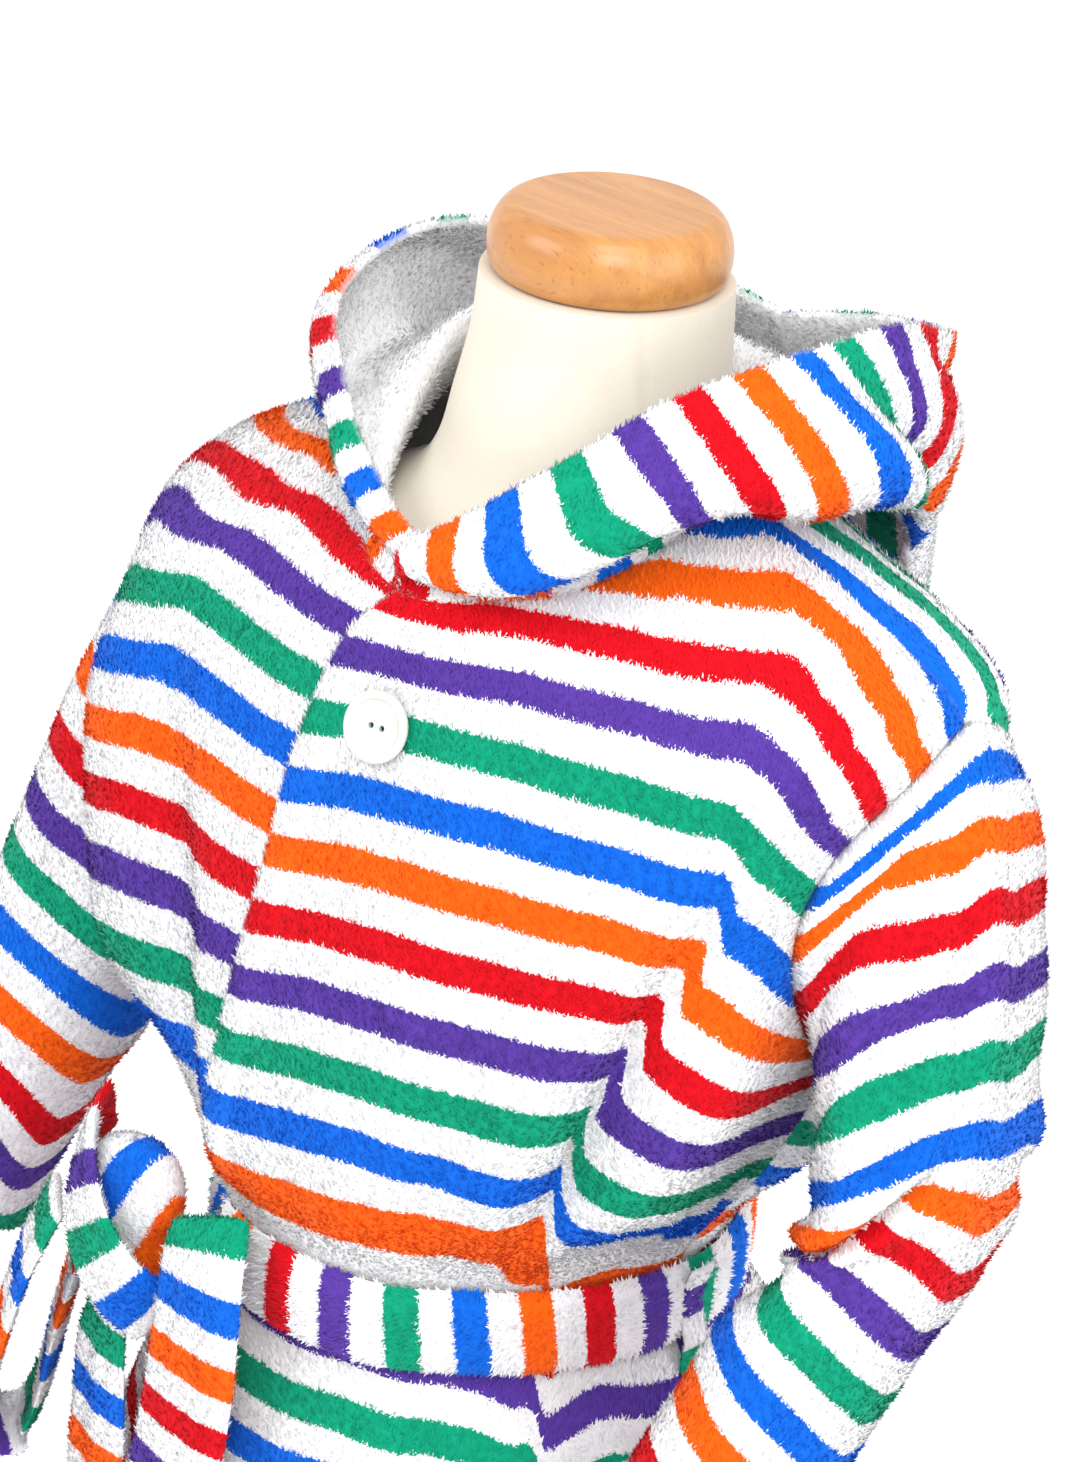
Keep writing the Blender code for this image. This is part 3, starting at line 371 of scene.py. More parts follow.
def cloth_shell(name, outside, inside, uv, loft=None, dyed_inside=0.0, tube=False, roll=1.0):
    """A piece of cloth from its outer and inner grids, with edges that are rolled over.

    uv is in metres of cloth.  loft says how high the loops stand, and dyed is 1 where the
    stripes show and 0 on the plain white inner face."""
    rows, columns = outside.shape[:2]
    count = rows * columns
    loft = np.ones((rows, columns)) if loft is None else np.broadcast_to(loft, (rows, columns))
    wrap = columns if tube else columns - 1
    faces = []
    grid = np.arange(count).reshape(rows, columns)
    near, far = grid[:-1, :wrap], np.roll(grid, -1, axis=1)[:-1, :wrap]
    above, across = grid[1:, :wrap], np.roll(grid, -1, axis=1)[1:, :wrap]
    quads = np.stack([near, far, across, above], -1).reshape(-1, 4)
    faces += quads.tolist()
    faces += (quads[:, ::-1] + count).tolist()
    points = [outside.reshape(-1, 3), inside.reshape(-1, 3)]
    flat_uv = uv.reshape(-1, 2)
    uvs = [flat_uv, flat_uv]
    lofts = [loft.ravel(), loft.ravel()]
    dyed = [np.ones(count), np.full(count, dyed_inside)]
    start = 2 * count
    if tube:
        rims = [(list(grid[0]) + [grid[0, 0]], grid[1], 1), (list(grid[-1]) + [grid[-1, 0]], grid[-2], -1)]
    else:
        round_it = (list(grid[0]) + list(grid[1:, -1]) + list(grid[-1, -2::-1]) + list(grid[-2:0:-1, 0]))
        rims = [(round_it + [round_it[0]], None, 1)]
    inward = {}
    if not tube:
        for row in range(rows):
            for place, neighbour in ((0, 1), (columns - 1, columns - 2)):
                inward[grid[row, place]] = grid[row, neighbour]
        for place in range(columns):
            for row, neighbour in ((0, 1), (rows - 1, rows - 2)):
                inward[grid[row, place]] = grid[neighbour, place]
    flat_out, flat_in = points[0], points[1]
    for border, nearby, turn in rims:
        loop = np.array(border[:-1])
        if nearby is None:
            nearby = np.array([inward[point] for point in loop])
        away = unit(flat_out[loop] - flat_out[nearby])
        thick = np.linalg.norm(flat_out[loop] - flat_in[loop], axis=-1, keepdims=True)
        middle = (flat_out[loop] + flat_in[loop]) / 2 + away * thick * 0.42 * roll
        points.append(middle)
        uvs.append(flat_uv[loop])
        lofts.append(loft.ravel()[loop])
        dyed.append(np.full(len(loop), 0.5 + dyed_inside / 2))
        size = len(loop)
        for step in range(size):
            one, two = loop[step], loop[(step + 1) % size]
            mid_one, mid_two = start + step, start + (step + 1) % size
            rim = [(one, mid_one, mid_two, two), (mid_one, one + count, two + count, mid_two)]
            faces += rim if turn > 0 else [face[::-1] for face in rim]
        start += size
    piece = new_object(name, np.concatenate(points), faces, np.concatenate(uvs),
                       {"loft": np.concatenate(lofts), "dyed": np.concatenate(dyed)})
    shape = bmesh.new()
    shape.from_mesh(piece.data)
    bmesh.ops.recalc_face_normals(shape, faces=shape.faces)
    shape.to_mesh(piece.data)
    shape.free()
    face_side = np.full(len(faces), 1.0)
    face_side[len(quads):2 * len(quads)] = 0.0
    kept = piece.data.attributes.new("outer", "FLOAT", "FACE")
    kept.data.foreach_set("value", face_side)
    return piece


def grid_normals(points, tube=False):
    if tube:
        across = np.roll(points, -1, axis=1) - np.roll(points, 1, axis=1)
    else:
        across = np.gradient(points, axis=1)
    return unit(np.cross(across, np.gradient(points, axis=0)))


HEM_WIDTH = 14.0             # front edges, rim: turned in and stitched this far from the edge
FOOT_HEM = 28.0
STITCH_SINK = 1.0


def hem_lift(distance, width):
    """The doubled cloth of a hem stands a little proud; its stitch line sinks in."""
    doubled = 0.8 * (1 - ramp(distance, width - 1.5, width + 1.5))
    return doubled - STITCH_SINK * bell(distance - width, 1.5)


def hem_loft(distance, width):
    """The loops lie flat along a hem's stitch line."""
    return 1 - 0.75 * bell(distance - width, 1.4)


def seam_lift(distance):
    return -1.6 * bell(distance, 3.0)


def seam_loft(distance):
    return 1 - 0.6 * bell(distance, 2.0)


def fine_panel(name, first_angle, last_angle, columns, lift, drift, edge_side):
    """A body panel between two seams; edge_side is -1 or 1 where a column is a front edge."""
    rows = stepped(CLOTH_STEPS)
    share = np.linspace(0, 1, columns + 1)[None, :]
    angle = first_angle(rows)[:, None] + (last_angle(rows) - first_angle(rows))[:, None] * share
    row = np.repeat(rows[:, None], columns + 1, axis=1)
    point = body_point(angle, row)
    normal = body_normal(angle, row)
    reach = np.linalg.norm(point[..., :2], axis=-1)
    width = np.radians(np.abs(last_angle(rows) - first_angle(rows)))[:, None] * reach
    from_first, from_last = width * share, width * (1 - share)
    from_foot = point[..., 2] - BODY_ROWS[0][1]
    lofts = np.ones_like(reach)
    stand = lift(angle)
    for distance, is_edge in ((from_first, edge_side == -1), (from_last, edge_side == 1)):
        if is_edge:
            stand = stand + hem_lift(distance, HEM_WIDTH)
            lofts = lofts * hem_loft(distance, HEM_WIDTH)
        else:
            stand = stand + seam_lift(distance)
            lofts = lofts * seam_loft(distance)
    stand = stand + hem_lift(from_foot, FOOT_HEM)
    lofts = lofts * hem_loft(from_foot, FOOT_HEM)
    outside = point + normal * stand[..., None]
    inside = point + normal * (stand - TERRY)[..., None]
    height = point[..., 2]
    along = cloth_length(angle, row) - ORANGE_AT - drift(angle, height)
    across = np.radians(angle) * 150
    uv = np.stack([across, along], -1) * MM
    return cloth_shell(name, outside, inside, uv, lofts)


def edge_at(name):
    return lambda rows: smooth(column(FRONT_EDGES, EDGE_COLUMNS, name), rows)


def side_at(turn, depth):
    """The side seam and armhole of a panel, as an angle: turn -1 for a front, 1 for the back."""
    return lambda rows: 90 + turn * (0.1 + armhole_bite(rows, depth))


def feed(tree, made, inputs):
    """Sets each input of a node to a constant, or joins it to the output given for it."""
    for name, value in inputs.items():
        if isinstance(value, bpy.types.NodeSocket):
            tree.links.new(value, made.inputs[name])
        else:
            made.inputs[name].default_value = value


def node(tree, kind, place, inputs=None, **settings):
    made = tree.nodes.new(kind)
    made.location = place
    for name, value in settings.items():
        setattr(made, name, value)
    feed(tree, made, inputs or {})
    return made


def new_material(name):
    made = bpy.data.materials.new(name)
    made.use_nodes = True
    return made, made.node_tree, made.node_tree.nodes["Principled BSDF"]


def new_group(name, kind, inputs, outputs):
    """A node group with its sockets, each a name, a kind and perhaps a value."""
    tree = bpy.data.node_groups.new(name, kind)
    for way, sockets in (("INPUT", inputs), ("OUTPUT", outputs)):
        for label, holds, *value in sockets:
            made = tree.interface.new_socket(name=label, in_out=way, socket_type="NodeSocket" + holds)
            if value:
                made.default_value = value[0]
    return tree


# The dyes and the white ground, and the order of the stripes going down the robe.
ORANGE, RED, PURPLE = (1.0, 0.135, 0.004), (0.72, 0.003, 0.012), (0.105, 0.045, 0.36)
GREEN, BLUE, WHITE = (0.003, 0.36, 0.20), (0.004, 0.15, 0.76), (0.94, 0.94, 0.955)
STRIPE_ORDER = (ORANGE, RED, PURPLE, GREEN, BLUE)


def make_stripe_group():
    """Colour and loop relief of the terry, from the cloth's own UV map in metres; the colour is darkened at
    the loops' roots and on the cloth between them as painted shade.
    """
    tree = new_group(
        "striped terry", "ShaderNodeTree",
        (("Repeat", "Float", STRIPE_REPEAT * MM), ("Ragged Edge", "Float", 0.0012),
         ("Loop Scale", "Float", 850.0)),
        (("Color", "Color"), ("Relief", "Float"), ("Lay", "Vector")))
    enter = node(tree, "NodeGroupInput", (-1400, 0))
    leave = node(tree, "NodeGroupOutput", (900, 0))
    link = tree.links.new
    place = node(tree, "ShaderNodeUVMap", (-1400, 300), uv_map="cloth")
    split = node(tree, "ShaderNodeSeparateXYZ", (-1200, 300), {"Vector": place.outputs["UV"]})
    own = node(tree, "ShaderNodeTexCoord", (-1400, -300))
    loops = node(tree, "ShaderNodeTexNoise", (-1100, -100),
        {"Detail": 2.0, "Roughness": 0.6, "Vector": own.outputs["Object"],
         "Scale": enter.outputs["Loop Scale"]})
    slow = node(tree, "ShaderNodeTexNoise", (-1100, -350),
        {"Scale": 45.0, "Detail": 2.0, "Vector": own.outputs["Object"]})
    centred = node(tree, "ShaderNodeMath", (-900, -100),
        {1: 0.5, 0: loops.outputs["Fac"]}, operation="SUBTRACT")
    ragged = node(tree, "ShaderNodeMath", (-750, -100),
        {0: centred.outputs[0], 1: enter.outputs["Ragged Edge"]}, operation="MULTIPLY")
    double = node(tree, "ShaderNodeMath", (-600, -100),
        {1: 4.0, 0: ragged.outputs[0]}, operation="MULTIPLY")
    drawn = node(tree, "ShaderNodeMath", (-450, 100),
        {0: split.outputs["Y"], 1: double.outputs[0]}, operation="ADD")
    share = node(tree, "ShaderNodeMath", (-300, 100),
        {0: drawn.outputs[0], 1: enter.outputs["Repeat"]}, operation="DIVIDE")
    shifted = node(tree, "ShaderNodeMath", (-150, 100), {1: 0.05, 0: share.outputs[0]}, operation="ADD")
    part = node(tree, "ShaderNodeMath", (0, 100), {0: shifted.outputs[0]}, operation="FRACT")
    dyes = node(tree, "ShaderNodeValToRGB", (150, 150), {"Fac": part.outputs[0]})
    dyes.color_ramp.interpolation = "CONSTANT"
    stops = dyes.color_ramp.elements
    while len(stops) < 2 * len(STRIPE_ORDER):
        stops.new(0.5)
    for index, dye in enumerate(STRIPE_ORDER):
        stops[2 * index].position = index * 0.2
        stops[2 * index].color = (*dye, 1)
        stops[2 * index + 1].position = index * 0.2 + 0.1
        stops[2 * index + 1].color = (*WHITE, 1)
    side = node(tree, "ShaderNodeAttribute", (150, 400), attribute_name="dyed")
    inside = node(tree, "ShaderNodeMix", (450, 250),
        {"A": (*WHITE, 1), "Factor": side.outputs["Fac"], "B": dyes.outputs["Color"]}, data_type="RGBA")
    tip = node(tree, "ShaderNodeAttribute", (150, -150), attribute_name="tip")
    # painted shade: darker towards each loop's root (0.88) and on the cloth between the loops, which carries
    # no tip; the slow mottle is the terry's own random tone
    painted_root_shade = node(tree, "ShaderNodeMapRange", (300, -200),
        {"To Min": 0.88, "To Max": 1.0, "Value": tip.outputs["Fac"]})
    mottle = node(tree, "ShaderNodeMapRange", (300, -450),
        {"From Min": 0.3, "From Max": 0.7, "To Min": 0.96, "To Max": 1.03, "Value": slow.outputs["Fac"]})
    shade = node(tree, "ShaderNodeMath", (480, -300),
        {0: painted_root_shade.outputs["Result"], 1: mottle.outputs["Result"]}, operation="MULTIPLY")
    tinted = node(tree, "ShaderNodeVectorMath", (680, 150),
        {0: inside.outputs["Result"], "Scale": shade.outputs[0]}, operation="SCALE")
    link(tinted.outputs["Vector"], leave.inputs["Color"])
    ridge = node(tree, "ShaderNodeMath", (-600, -500), {0: centred.outputs[0]}, operation="ABSOLUTE")
    link(ridge.outputs[0], leave.inputs["Relief"])
    lay = node(tree, "ShaderNodeAttribute", (300, -650), attribute_name="lay")
    level = node(tree, "ShaderNodeVectorMath", (500, -650),
        {"Scale": 0.9, 0: lay.outputs["Vector"]}, operation="SCALE")
    link(level.outputs["Vector"], leave.inputs["Lay"])
    return tree


stripe_group = make_stripe_group()


def make_terry(name, sheen):
    made, tree, shader = new_material(name)
    cloth = node(tree, "ShaderNodeGroup", (-500, 200), node_tree=stripe_group)
    bump = node(tree, "ShaderNodeBump", (-250, -100),
        {"Strength": 0.5, "Distance": 0.0012, "Height": cloth.outputs["Relief"]})
    facing = node(tree, "ShaderNodeVectorMath", (-50, -150),
        {0: bump.outputs["Normal"], 1: cloth.outputs["Lay"]}, operation="ADD")
    evened = node(tree, "ShaderNodeVectorMath", (100, -150),
        {0: facing.outputs["Vector"]}, operation="NORMALIZE")
    feed(tree, shader,
        {"Roughness": 0.95, "Sheen Weight": sheen, "Sheen Roughness": 0.45, "Specular IOR Level": 0.15,
         "Base Color": cloth.outputs["Color"], "Normal": evened.outputs["Vector"]})
    return made


terry_cloth = make_terry("striped terry", 0.08)


def make_pile_tree():
    """Scatters the terry's loops over a cloth, each a small tuft that leans one way."""
    tree = new_group(
        "terry loops", "GeometryNodeTree",
        (("Cloth", "Geometry"), ("Loops per Square Metre", "Float", 450000.0),
         ("Loop Length", "Float", 0.0029), ("Loop Width", "Float", 0.0013), ("Loop Rise", "Float", 0.55),
         ("Lean Way", "Vector"), ("Inner Face", "Float", 0.0), ("Seed", "Int", 3),
         ("Material", "Material")),
        (("Pile", "Geometry"),))
    link = tree.links.new
    enter = node(tree, "NodeGroupInput", (-1600, 0))
    leave = node(tree, "NodeGroupOutput", (1600, 0))
    outer = node(tree, "GeometryNodeInputNamedAttribute", (-1400, -400),
        {"Name": "outer"}, data_type="FLOAT")
    share = node(tree, "ShaderNodeMath", (-1200, -400),
        {0: outer.outputs["Attribute"], 1: enter.outputs["Inner Face"]}, operation="MAXIMUM")
    density = node(tree, "ShaderNodeMath", (-1000, -300),
        {0: share.outputs[0], 1: enter.outputs["Loops per Square Metre"]}, operation="MULTIPLY")
    points = node(tree, "GeometryNodeDistributePointsOnFaces", (-800, 0),
        {"Mesh": enter.outputs["Cloth"], "Density": density.outputs[0], "Seed": enter.outputs["Seed"]})
    level = node(tree, "GeometryNodeStoreNamedAttribute", (-550, 0),
        {"Name": "lay", "Geometry": points.outputs["Points"], "Value": points.outputs["Normal"]},
        data_type="FLOAT_VECTOR", domain="POINT")
    tuft = node(tree, "GeometryNodeMeshCircle", (-1200, 500),
        {"Vertices": 3, "Radius": 1.0}, fill_type="NGON")
    where = node(tree, "GeometryNodeInputPosition", (-1200, 800))
    split = node(tree, "ShaderNodeSeparateXYZ", (-1050, 800), {0: where.outputs[0]})
    # tip runs from a tuft's root to its end; the terry material darkens the root end with it as painted
    # shade
    marked = node(tree, "GeometryNodeStoreNamedAttribute", (-950, 500),
        {"Name": "tip", "Geometry": tuft.outputs["Mesh"], "Value": split.outputs["X"]},
        data_type="FLOAT", domain="POINT")
    drawn = node(tree, "ShaderNodeCombineXYZ", (-950, 250), {"Z": 1.0})
    for socket, way, part in (("Loop Length", "X", 1 / 1.5), ("Loop Width", "Y", 1 / 1.732)):
        sized = node(tree, "ShaderNodeMath", (-1150, 250 - 150 * (way == "Y")),
            {0: enter.outputs[socket], 1: part}, operation="MULTIPLY")
        link(sized.outputs[0], drawn.inputs[way])
    stretched = node(tree, "GeometryNodeTransform", (-750, 500),
        {"Geometry": marked.outputs["Geometry"], "Scale": drawn.outputs[0]})
    rooted = node(tree, "ShaderNodeMath", (-950, 50),
        {1: 3.4, 0: enter.outputs["Loop Length"]}, operation="DIVIDE")
    root = node(tree, "ShaderNodeCombineXYZ", (-750, 250), {"X": rooted.outputs[0]})
    moved = node(tree, "GeometryNodeTransform", (-550, 500),
        {"Geometry": stretched.outputs["Geometry"], "Translation": root.outputs[0]})
    fall = node(tree, "ShaderNodeMath", (-750, 750),
        {1: -1.0, 0: enter.outputs["Loop Rise"]}, operation="MULTIPLY")
    rise = node(tree, "ShaderNodeCombineXYZ", (-550, 750), {"Y": fall.outputs[0]})
    leaning = node(tree, "GeometryNodeTransform", (-350, 500),
        {"Geometry": moved.outputs["Geometry"], "Rotation": rise.outputs[0]})
    loft = node(tree, "GeometryNodeInputNamedAttribute", (-400, -250), {"Name": "loft"}, data_type="FLOAT")
    uneven = node(tree, "FunctionNodeRandomValue", (-400, -450), {2: 0.7, 3: 1.25}, data_type="FLOAT")
    size = node(tree, "ShaderNodeMath", (-200, -300),
        {0: loft.outputs["Attribute"], 1: uneven.outputs[1]}, operation="MULTIPLY")
    faced = node(tree, "FunctionNodeAlignRotationToVector", (-250, 250),
        {"Rotation": points.outputs["Rotation"], "Vector": enter.outputs["Lean Way"]},
        axis="X", pivot_axis="Z")
    placed = node(tree, "GeometryNodeInstanceOnPoints", (0, 0),
        {"Points": level.outputs["Geometry"], "Instance": leaning.outputs["Geometry"],
         "Rotation": faced.outputs["Rotation"], "Scale": size.outputs[0]})
    swirl = node(tree, "FunctionNodeRandomValue", (0, -400),
        {0: (-0.4, -0.35, -0.85), 1: (0.4, 0.35, 0.85), "Seed": 11}, data_type="FLOAT_VECTOR")
    turned = node(tree, "GeometryNodeRotateInstances", (250, 0),
        {"Instances": placed.outputs["Instances"], "Rotation": swirl.outputs[0]})
    solid = node(tree, "GeometryNodeRealizeInstances", (500, 0), {"Geometry": turned.outputs["Instances"]})
    painted = node(tree, "GeometryNodeSetMaterial", (750, 0),
        {"Geometry": solid.outputs["Geometry"], "Material": enter.outputs["Material"]})
    link(painted.outputs["Geometry"], leave.inputs["Pile"])
    return tree


pile_tree = make_pile_tree()


def socket_of(tree, name):
    return next(item.identifier for item in tree.interface.items_tree
                if item.name == name and item.in_out == "INPUT")


def evaluated_mesh(carrier):
    """What an object's modifiers make of it, as a plain mesh."""
    bpy.context.view_layer.update()
    graph = bpy.context.evaluated_depsgraph_get()
    return bpy.data.meshes.new_from_object(carrier.evaluated_get(graph))


def cloth_map_from_points(mesh):
    """Turns the cloth map that the loops carry on their points into a UV map."""
    carried = mesh.attributes.get("cloth")
    if carried is None or carried.domain == "CORNER":
        return
    places = np.empty(len(mesh.vertices) * 2)
    carried.data.foreach_get("vector", places)
    mesh.attributes.remove(carried)
    add_uv_map(mesh, places.reshape(-1, 2))


UP_THE_CLOTH, ALONG_THE_BELT = (0.0, 0.0, 1.0), (-1.0, 0.2, 0.0)


def add_pile(cloth, material, per_square_metre, inner, seed, lean):
    """The loops of one piece of cloth, as one joined mesh that rides with it."""
    modifier = cloth.modifiers.new("loops", "NODES")
    modifier.node_group = pile_tree
    modifier[socket_of(pile_tree, "Loops per Square Metre")] = float(per_square_metre)
    modifier[socket_of(pile_tree, "Lean Way")] = lean
    modifier[socket_of(pile_tree, "Inner Face")] = float(inner)
    modifier[socket_of(pile_tree, "Seed")] = seed
    modifier[socket_of(pile_tree, "Material")] = material
    mesh = evaluated_mesh(cloth)
    mesh.name = cloth.name + "_loops"
    pile = add_object(mesh.name, mesh)
    cloth.modifiers.clear()
    cloth_map_from_points(mesh)
    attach(pile, "root")
    return pile


def finish_cloth(cloth, nodes, material=None, seed=3, inner=0.0,
                 per_square_metre=430000, lean=UP_THE_CLOTH):
    material = material or terry_cloth
    cloth.data.materials.append(material)
    pile = add_pile(cloth, material, per_square_metre, inner, seed, lean)
    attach(cloth, "root")
    if nodes:
        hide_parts(*nodes)


left_front = fine_panel("left_front", edge_at("left_edge"), side_at(-1, ARMHOLE_FRONT), FRONT_COLUMNS,
                        overlap_lift, left_drift, -1)
right_front = fine_panel("right_front", lambda rows: -side_at(-1, ARMHOLE_FRONT)(rows),
                         edge_at("right_edge"), FRONT_COLUMNS, np.zeros_like, right_drift, 1)
back = fine_panel("back", side_at(1, ARMHOLE_BACK), lambda rows: 360 - side_at(1, ARMHOLE_BACK)(rows),
                  BACK_COLUMNS, np.zeros_like, back_drift, 0)
finish_cloth(left_front, ["robe_front_left"], seed=3, per_square_metre=510000)
finish_cloth(right_front, ["robe_front_right"], seed=5, per_square_metre=510000)
finish_cloth(back, ["robe_back"], seed=7, per_square_metre=190000)

# ---------------------------------------------------------------- sleeves
# Each sleeve is one piece of the same terry, seamed under the arm and set into the armhole.
# They hang empty: the left one is bent at the elbow in front of the hip, and creases there.
SLEEVE_COLUMNS = ("outer_x", "outer_y", "outer_z", "inner_x", "inner_y", "inner_z", "half_depth")
LEFT_SLEEVE = (
    (216, 7, 988, 177, -5, 824, 52),
    (228, 5, 960, 179, -8, 809, 54),
    (237, 3, 925, 177, -10, 797, 52),
    (243, 0, 888, 180, -13, 786, 50),
    (247, -3, 852, 181, -16, 775, 48),
    (248, -8, 818, 180, -22, 763, 46),
    (246, -16, 786, 174, -32, 750, 44),
    (240, -32, 754, 164, -46, 733, 42),
    (233, -50, 722, 155, -62, 710, 41),
    (226, -68, 690, 149, -78, 684, 40),
    (220, -86, 659, 143, -94, 656, 40),
    (214, -104, 628, 137, -110, 628, 40),
)
RIGHT_SLEEVE = (
    (-217, 7, 988, -178, -5, 824, 52),
    (-232, 4, 960, -182, -9, 808, 54),
    (-247, 0, 924, -184, -14, 795, 52),
    (-261, -4, 888, -188, -18, 781, 50),
    (-274, -8, 852, -193, -22, 766, 48),
    (-286, -13, 815, -199, -28, 749, 46),
    (-297, -19, 778, -207, -36, 730, 44),
    (-307, -27, 743, -216, -44, 708, 43),
    (-315, -36, 710, -225, -54, 684, 42),
    (-322, -46, 678, -233, -64, 658, 41),
    (-328, -57, 646, -240, -76, 632, 41),
    (-333, -69, 614, -246, -88, 605, 41),
)
SLEEVE_FOLD_COLUMNS = ("around", "along", "around_width", "along_width", "height")
LEFT_SLEEVE_FOLDS = (
    (60, 3.2, 16, 2.6, -5), (92, 3.0, 16, 2.4, 4), (180, 5.9, 60, 0.5, -8), (180, 7.0, 55, 0.6, 5),
    (130, 6.4, 30, 0.5, -5), (40, 8.5, 22, 2.0, -4), (-60, 4.0, 24, 2.0, 5), (-100, 5.5, 24, 1.6, -5),
    # finer creases, most of them at the bend
    (30, 2.4, 7, 2.0, -4.5), (12, 2.4, 9, 2.2, 3), (80, 7.3, 40, 0.4, 3.0), (115, 8.2, 34, 0.4, -2.5),
    (20, 2.0, 9, 1.8, 2.5),
    (75, 9.6, 12, 1.2, 2.4), (140, 4.6, 14, 1.2, 2.6), (-20, 6.8, 20, 0.5, -2.5), (-45, 8.8, 18, 0.8, 2.5),
    (45, 5.6, 10, 0.9, -2.2),
)
RIGHT_SLEEVE_FOLDS = (
    (55, 3.4, 16, 2.6, 5), (95, 3.4, 14, 2.6, -6), (140, 5.0, 24, 2.4, 5), (180, 5.9, 55, 0.6, -6),
    (180, 7.1, 50, 0.7, 4), (-60, 4.2, 24, 2.0, 5), (-100, 5.8, 24, 1.6, -5),
    (120, 6.6, 30, 0.5, -3.0), (70, 7.4, 30, 0.5, 2.5), (30, 8.6, 12, 1.4, -2.5), (75, 9.4, 12, 1.2, 2.4),
    (-30, 6.5, 20, 0.6, -2.4), (20, 2.2, 9, 1.6, 2.2),
)
SLEEVE_ROUND = 64
SLEEVE_AROUND = np.arange(SLEEVE_ROUND) * 360.0 / SLEEVE_ROUND
SLEEVE_STEPS = 7
SLEEVE_HEAD = 3.5
SLEEVE_GAP = 0.4
CUFF_HEM = 24.0
# The armhole's rows in even steps from the shoulder's tip down to the armpit.
ARMHOLE_STEPS = (10, 9.5, 9, 8.667, 8.333, 8, 7.667, 7.333, 7)


def armhole_ring(side):
    half = SLEEVE_ROUND // 2
    down = np.interp(np.linspace(0, 8, half + 1), np.arange(9), ARMHOLE_STEPS)
    up = down[::-1][1:-1]
    angle = np.concatenate([90 - armhole_bite(down, ARMHOLE_FRONT),
                            90 + armhole_bite(up, ARMHOLE_BACK)]) * side
    row = np.concatenate([down, up])
    edge, outward = body_point(angle, row), body_normal(angle, row)
    drawn_in = unit(np.cross(np.roll(edge, -1, axis=0) - np.roll(edge, 1, axis=0), outward) * -side)
    return edge + drawn_in * SLEEVE_GAP, outward


def sleeve_rings(table, folds):
    place = np.linspace(0, len(table) - 1, (len(table) - 1) * SLEEVE_STEPS + 1)
    line = {name: smooth(column(table, SLEEVE_COLUMNS, name), place) for name in SLEEVE_COLUMNS}
    outer = np.stack([line["outer_x"], line["outer_y"], line["outer_z"]], -1)
    inner = np.stack([line["inner_x"], line["inner_y"], line["inner_z"]], -1)
    centre, half_breadth = (outer + inner) / 2, (outer - inner) / 2
    ahead = unit(np.cross(half_breadth, np.gradient(centre, axis=0)))
    ahead = ahead * -np.sign(ahead[:, 1:2])
    half_depth = line["half_depth"][:, None]
    reach = np.ones((len(place), SLEEVE_ROUND))
    for entry in folds:
        fold = dict(zip(SLEEVE_FOLD_COLUMNS, entry))
        off = wrapped(SLEEVE_AROUND - fold["around"])
        reach += fold["height"] / half_depth * bell(off, fold["around_width"]) * bell(
            place[:, None] - fold["along"], fold["along_width"])
    turn = np.radians(SLEEVE_AROUND)
    return (centre[:, None] + (reach * np.cos(turn))[..., None] * half_breadth[:, None]
            + (reach * np.sin(turn))[..., None] * (ahead * half_depth)[:, None])


# How far down the sleeve each stripe lies, in millimetres from the armhole, at its outer
# side, its front and its inner side.  The bend at the elbow swallows some of the cloth, so
# the left sleeve has one table above its long crease and another below it.
SLEEVE_STRIPE_COLUMNS = ("stripe", "outer", "outer_front", "front", "inner_front", "inner")
LEFT_UPPER_STRIPES = (
    (-1.7, 2, -4, -50, -85, -95), (-1, 30, 18, -26, -60, -70), (0, 52, 40, 3, -30, -40),
    (1, 72, 61, 30, 0, -10), (2, 93, 83, 59, 30, 20), (3, 114, 105, 93, 70, 60),
    (4, 137, 131, 127, 108, 100), (5, 161, 156, 163, 140, 132), (6, 187, 182, 194, 170, 160),
)
LEFT_LOWER_STRIPES = (
    (4, 137, 126, 90, 70, 60), (5, 161, 149, 118, 96, 88), (6, 187, 171, 149, 122, 112),
    (7, 213, 203, 181, 152, 142), (8, 240, 230, 213, 184, 174), (9, 268, 256, 241, 218, 208),
    (10, 296, 284, 268, 250, 242), (11, 324, 312, 298, 286, 280), (13, 380, 368, 358, 352, 352),
)
BEND_COLUMNS = ("around", "along")
LEFT_BEND = (
    (0, 146), (30, 143), (51, 149), (68, 158), (84, 170), (101, 173), (118, 163), (135, 150),
    (180, 140), (270, 144), (360, 146),
)
RIGHT_SLEEVE_STRIPES = (
    (-3.2, 10, -2, -30, -90, -95), (-2, 62, 46, 10, -50, -55), (-1, 90, 76, 42, -15, -20),
    (0, 118, 106, 75, 28, 30),
    (1, 146, 136, 114, 80, 80), (2, 174, 166, 154, 122, 118), (3, 202, 194, 186, 172, 174),
    (4, 230, 222, 218, 213, 222), (5, 258, 250, 248, 248, 256), (6, 286, 280, 278, 282, 300),
    (8, 344, 340, 338, 342, 356), (10, 402, 400, 398, 402, 416),
)


def sleeve_cloth(stripes, mean):
    """Millimetres of cloth down the sleeve, so that the stripes fall where the table says."""
    turn = np.abs(wrapped(SLEEVE_AROUND)) / 45.0
    number = column(stripes, SLEEVE_STRIPE_COLUMNS, "stripe")
    places = np.stack([column(stripes, SLEEVE_STRIPE_COLUMNS, name) for name in SLEEVE_STRIPE_COLUMNS[1:]])
    cloth = np.empty((mean.shape[0], SLEEVE_ROUND))
    for index, here in enumerate(smooth(places, turn)):
        cloth[:, index] = np.interp(mean[:, 0], here, number) * STRIPE_PITCH
    return cloth


def bend_off(bend, mean):
    """How far each point lies below the crease at the bend."""
    return mean - np.interp(SLEEVE_AROUND, column(bend, BEND_COLUMNS, "around"),
                            column(bend, BEND_COLUMNS, "along"))[None, :]


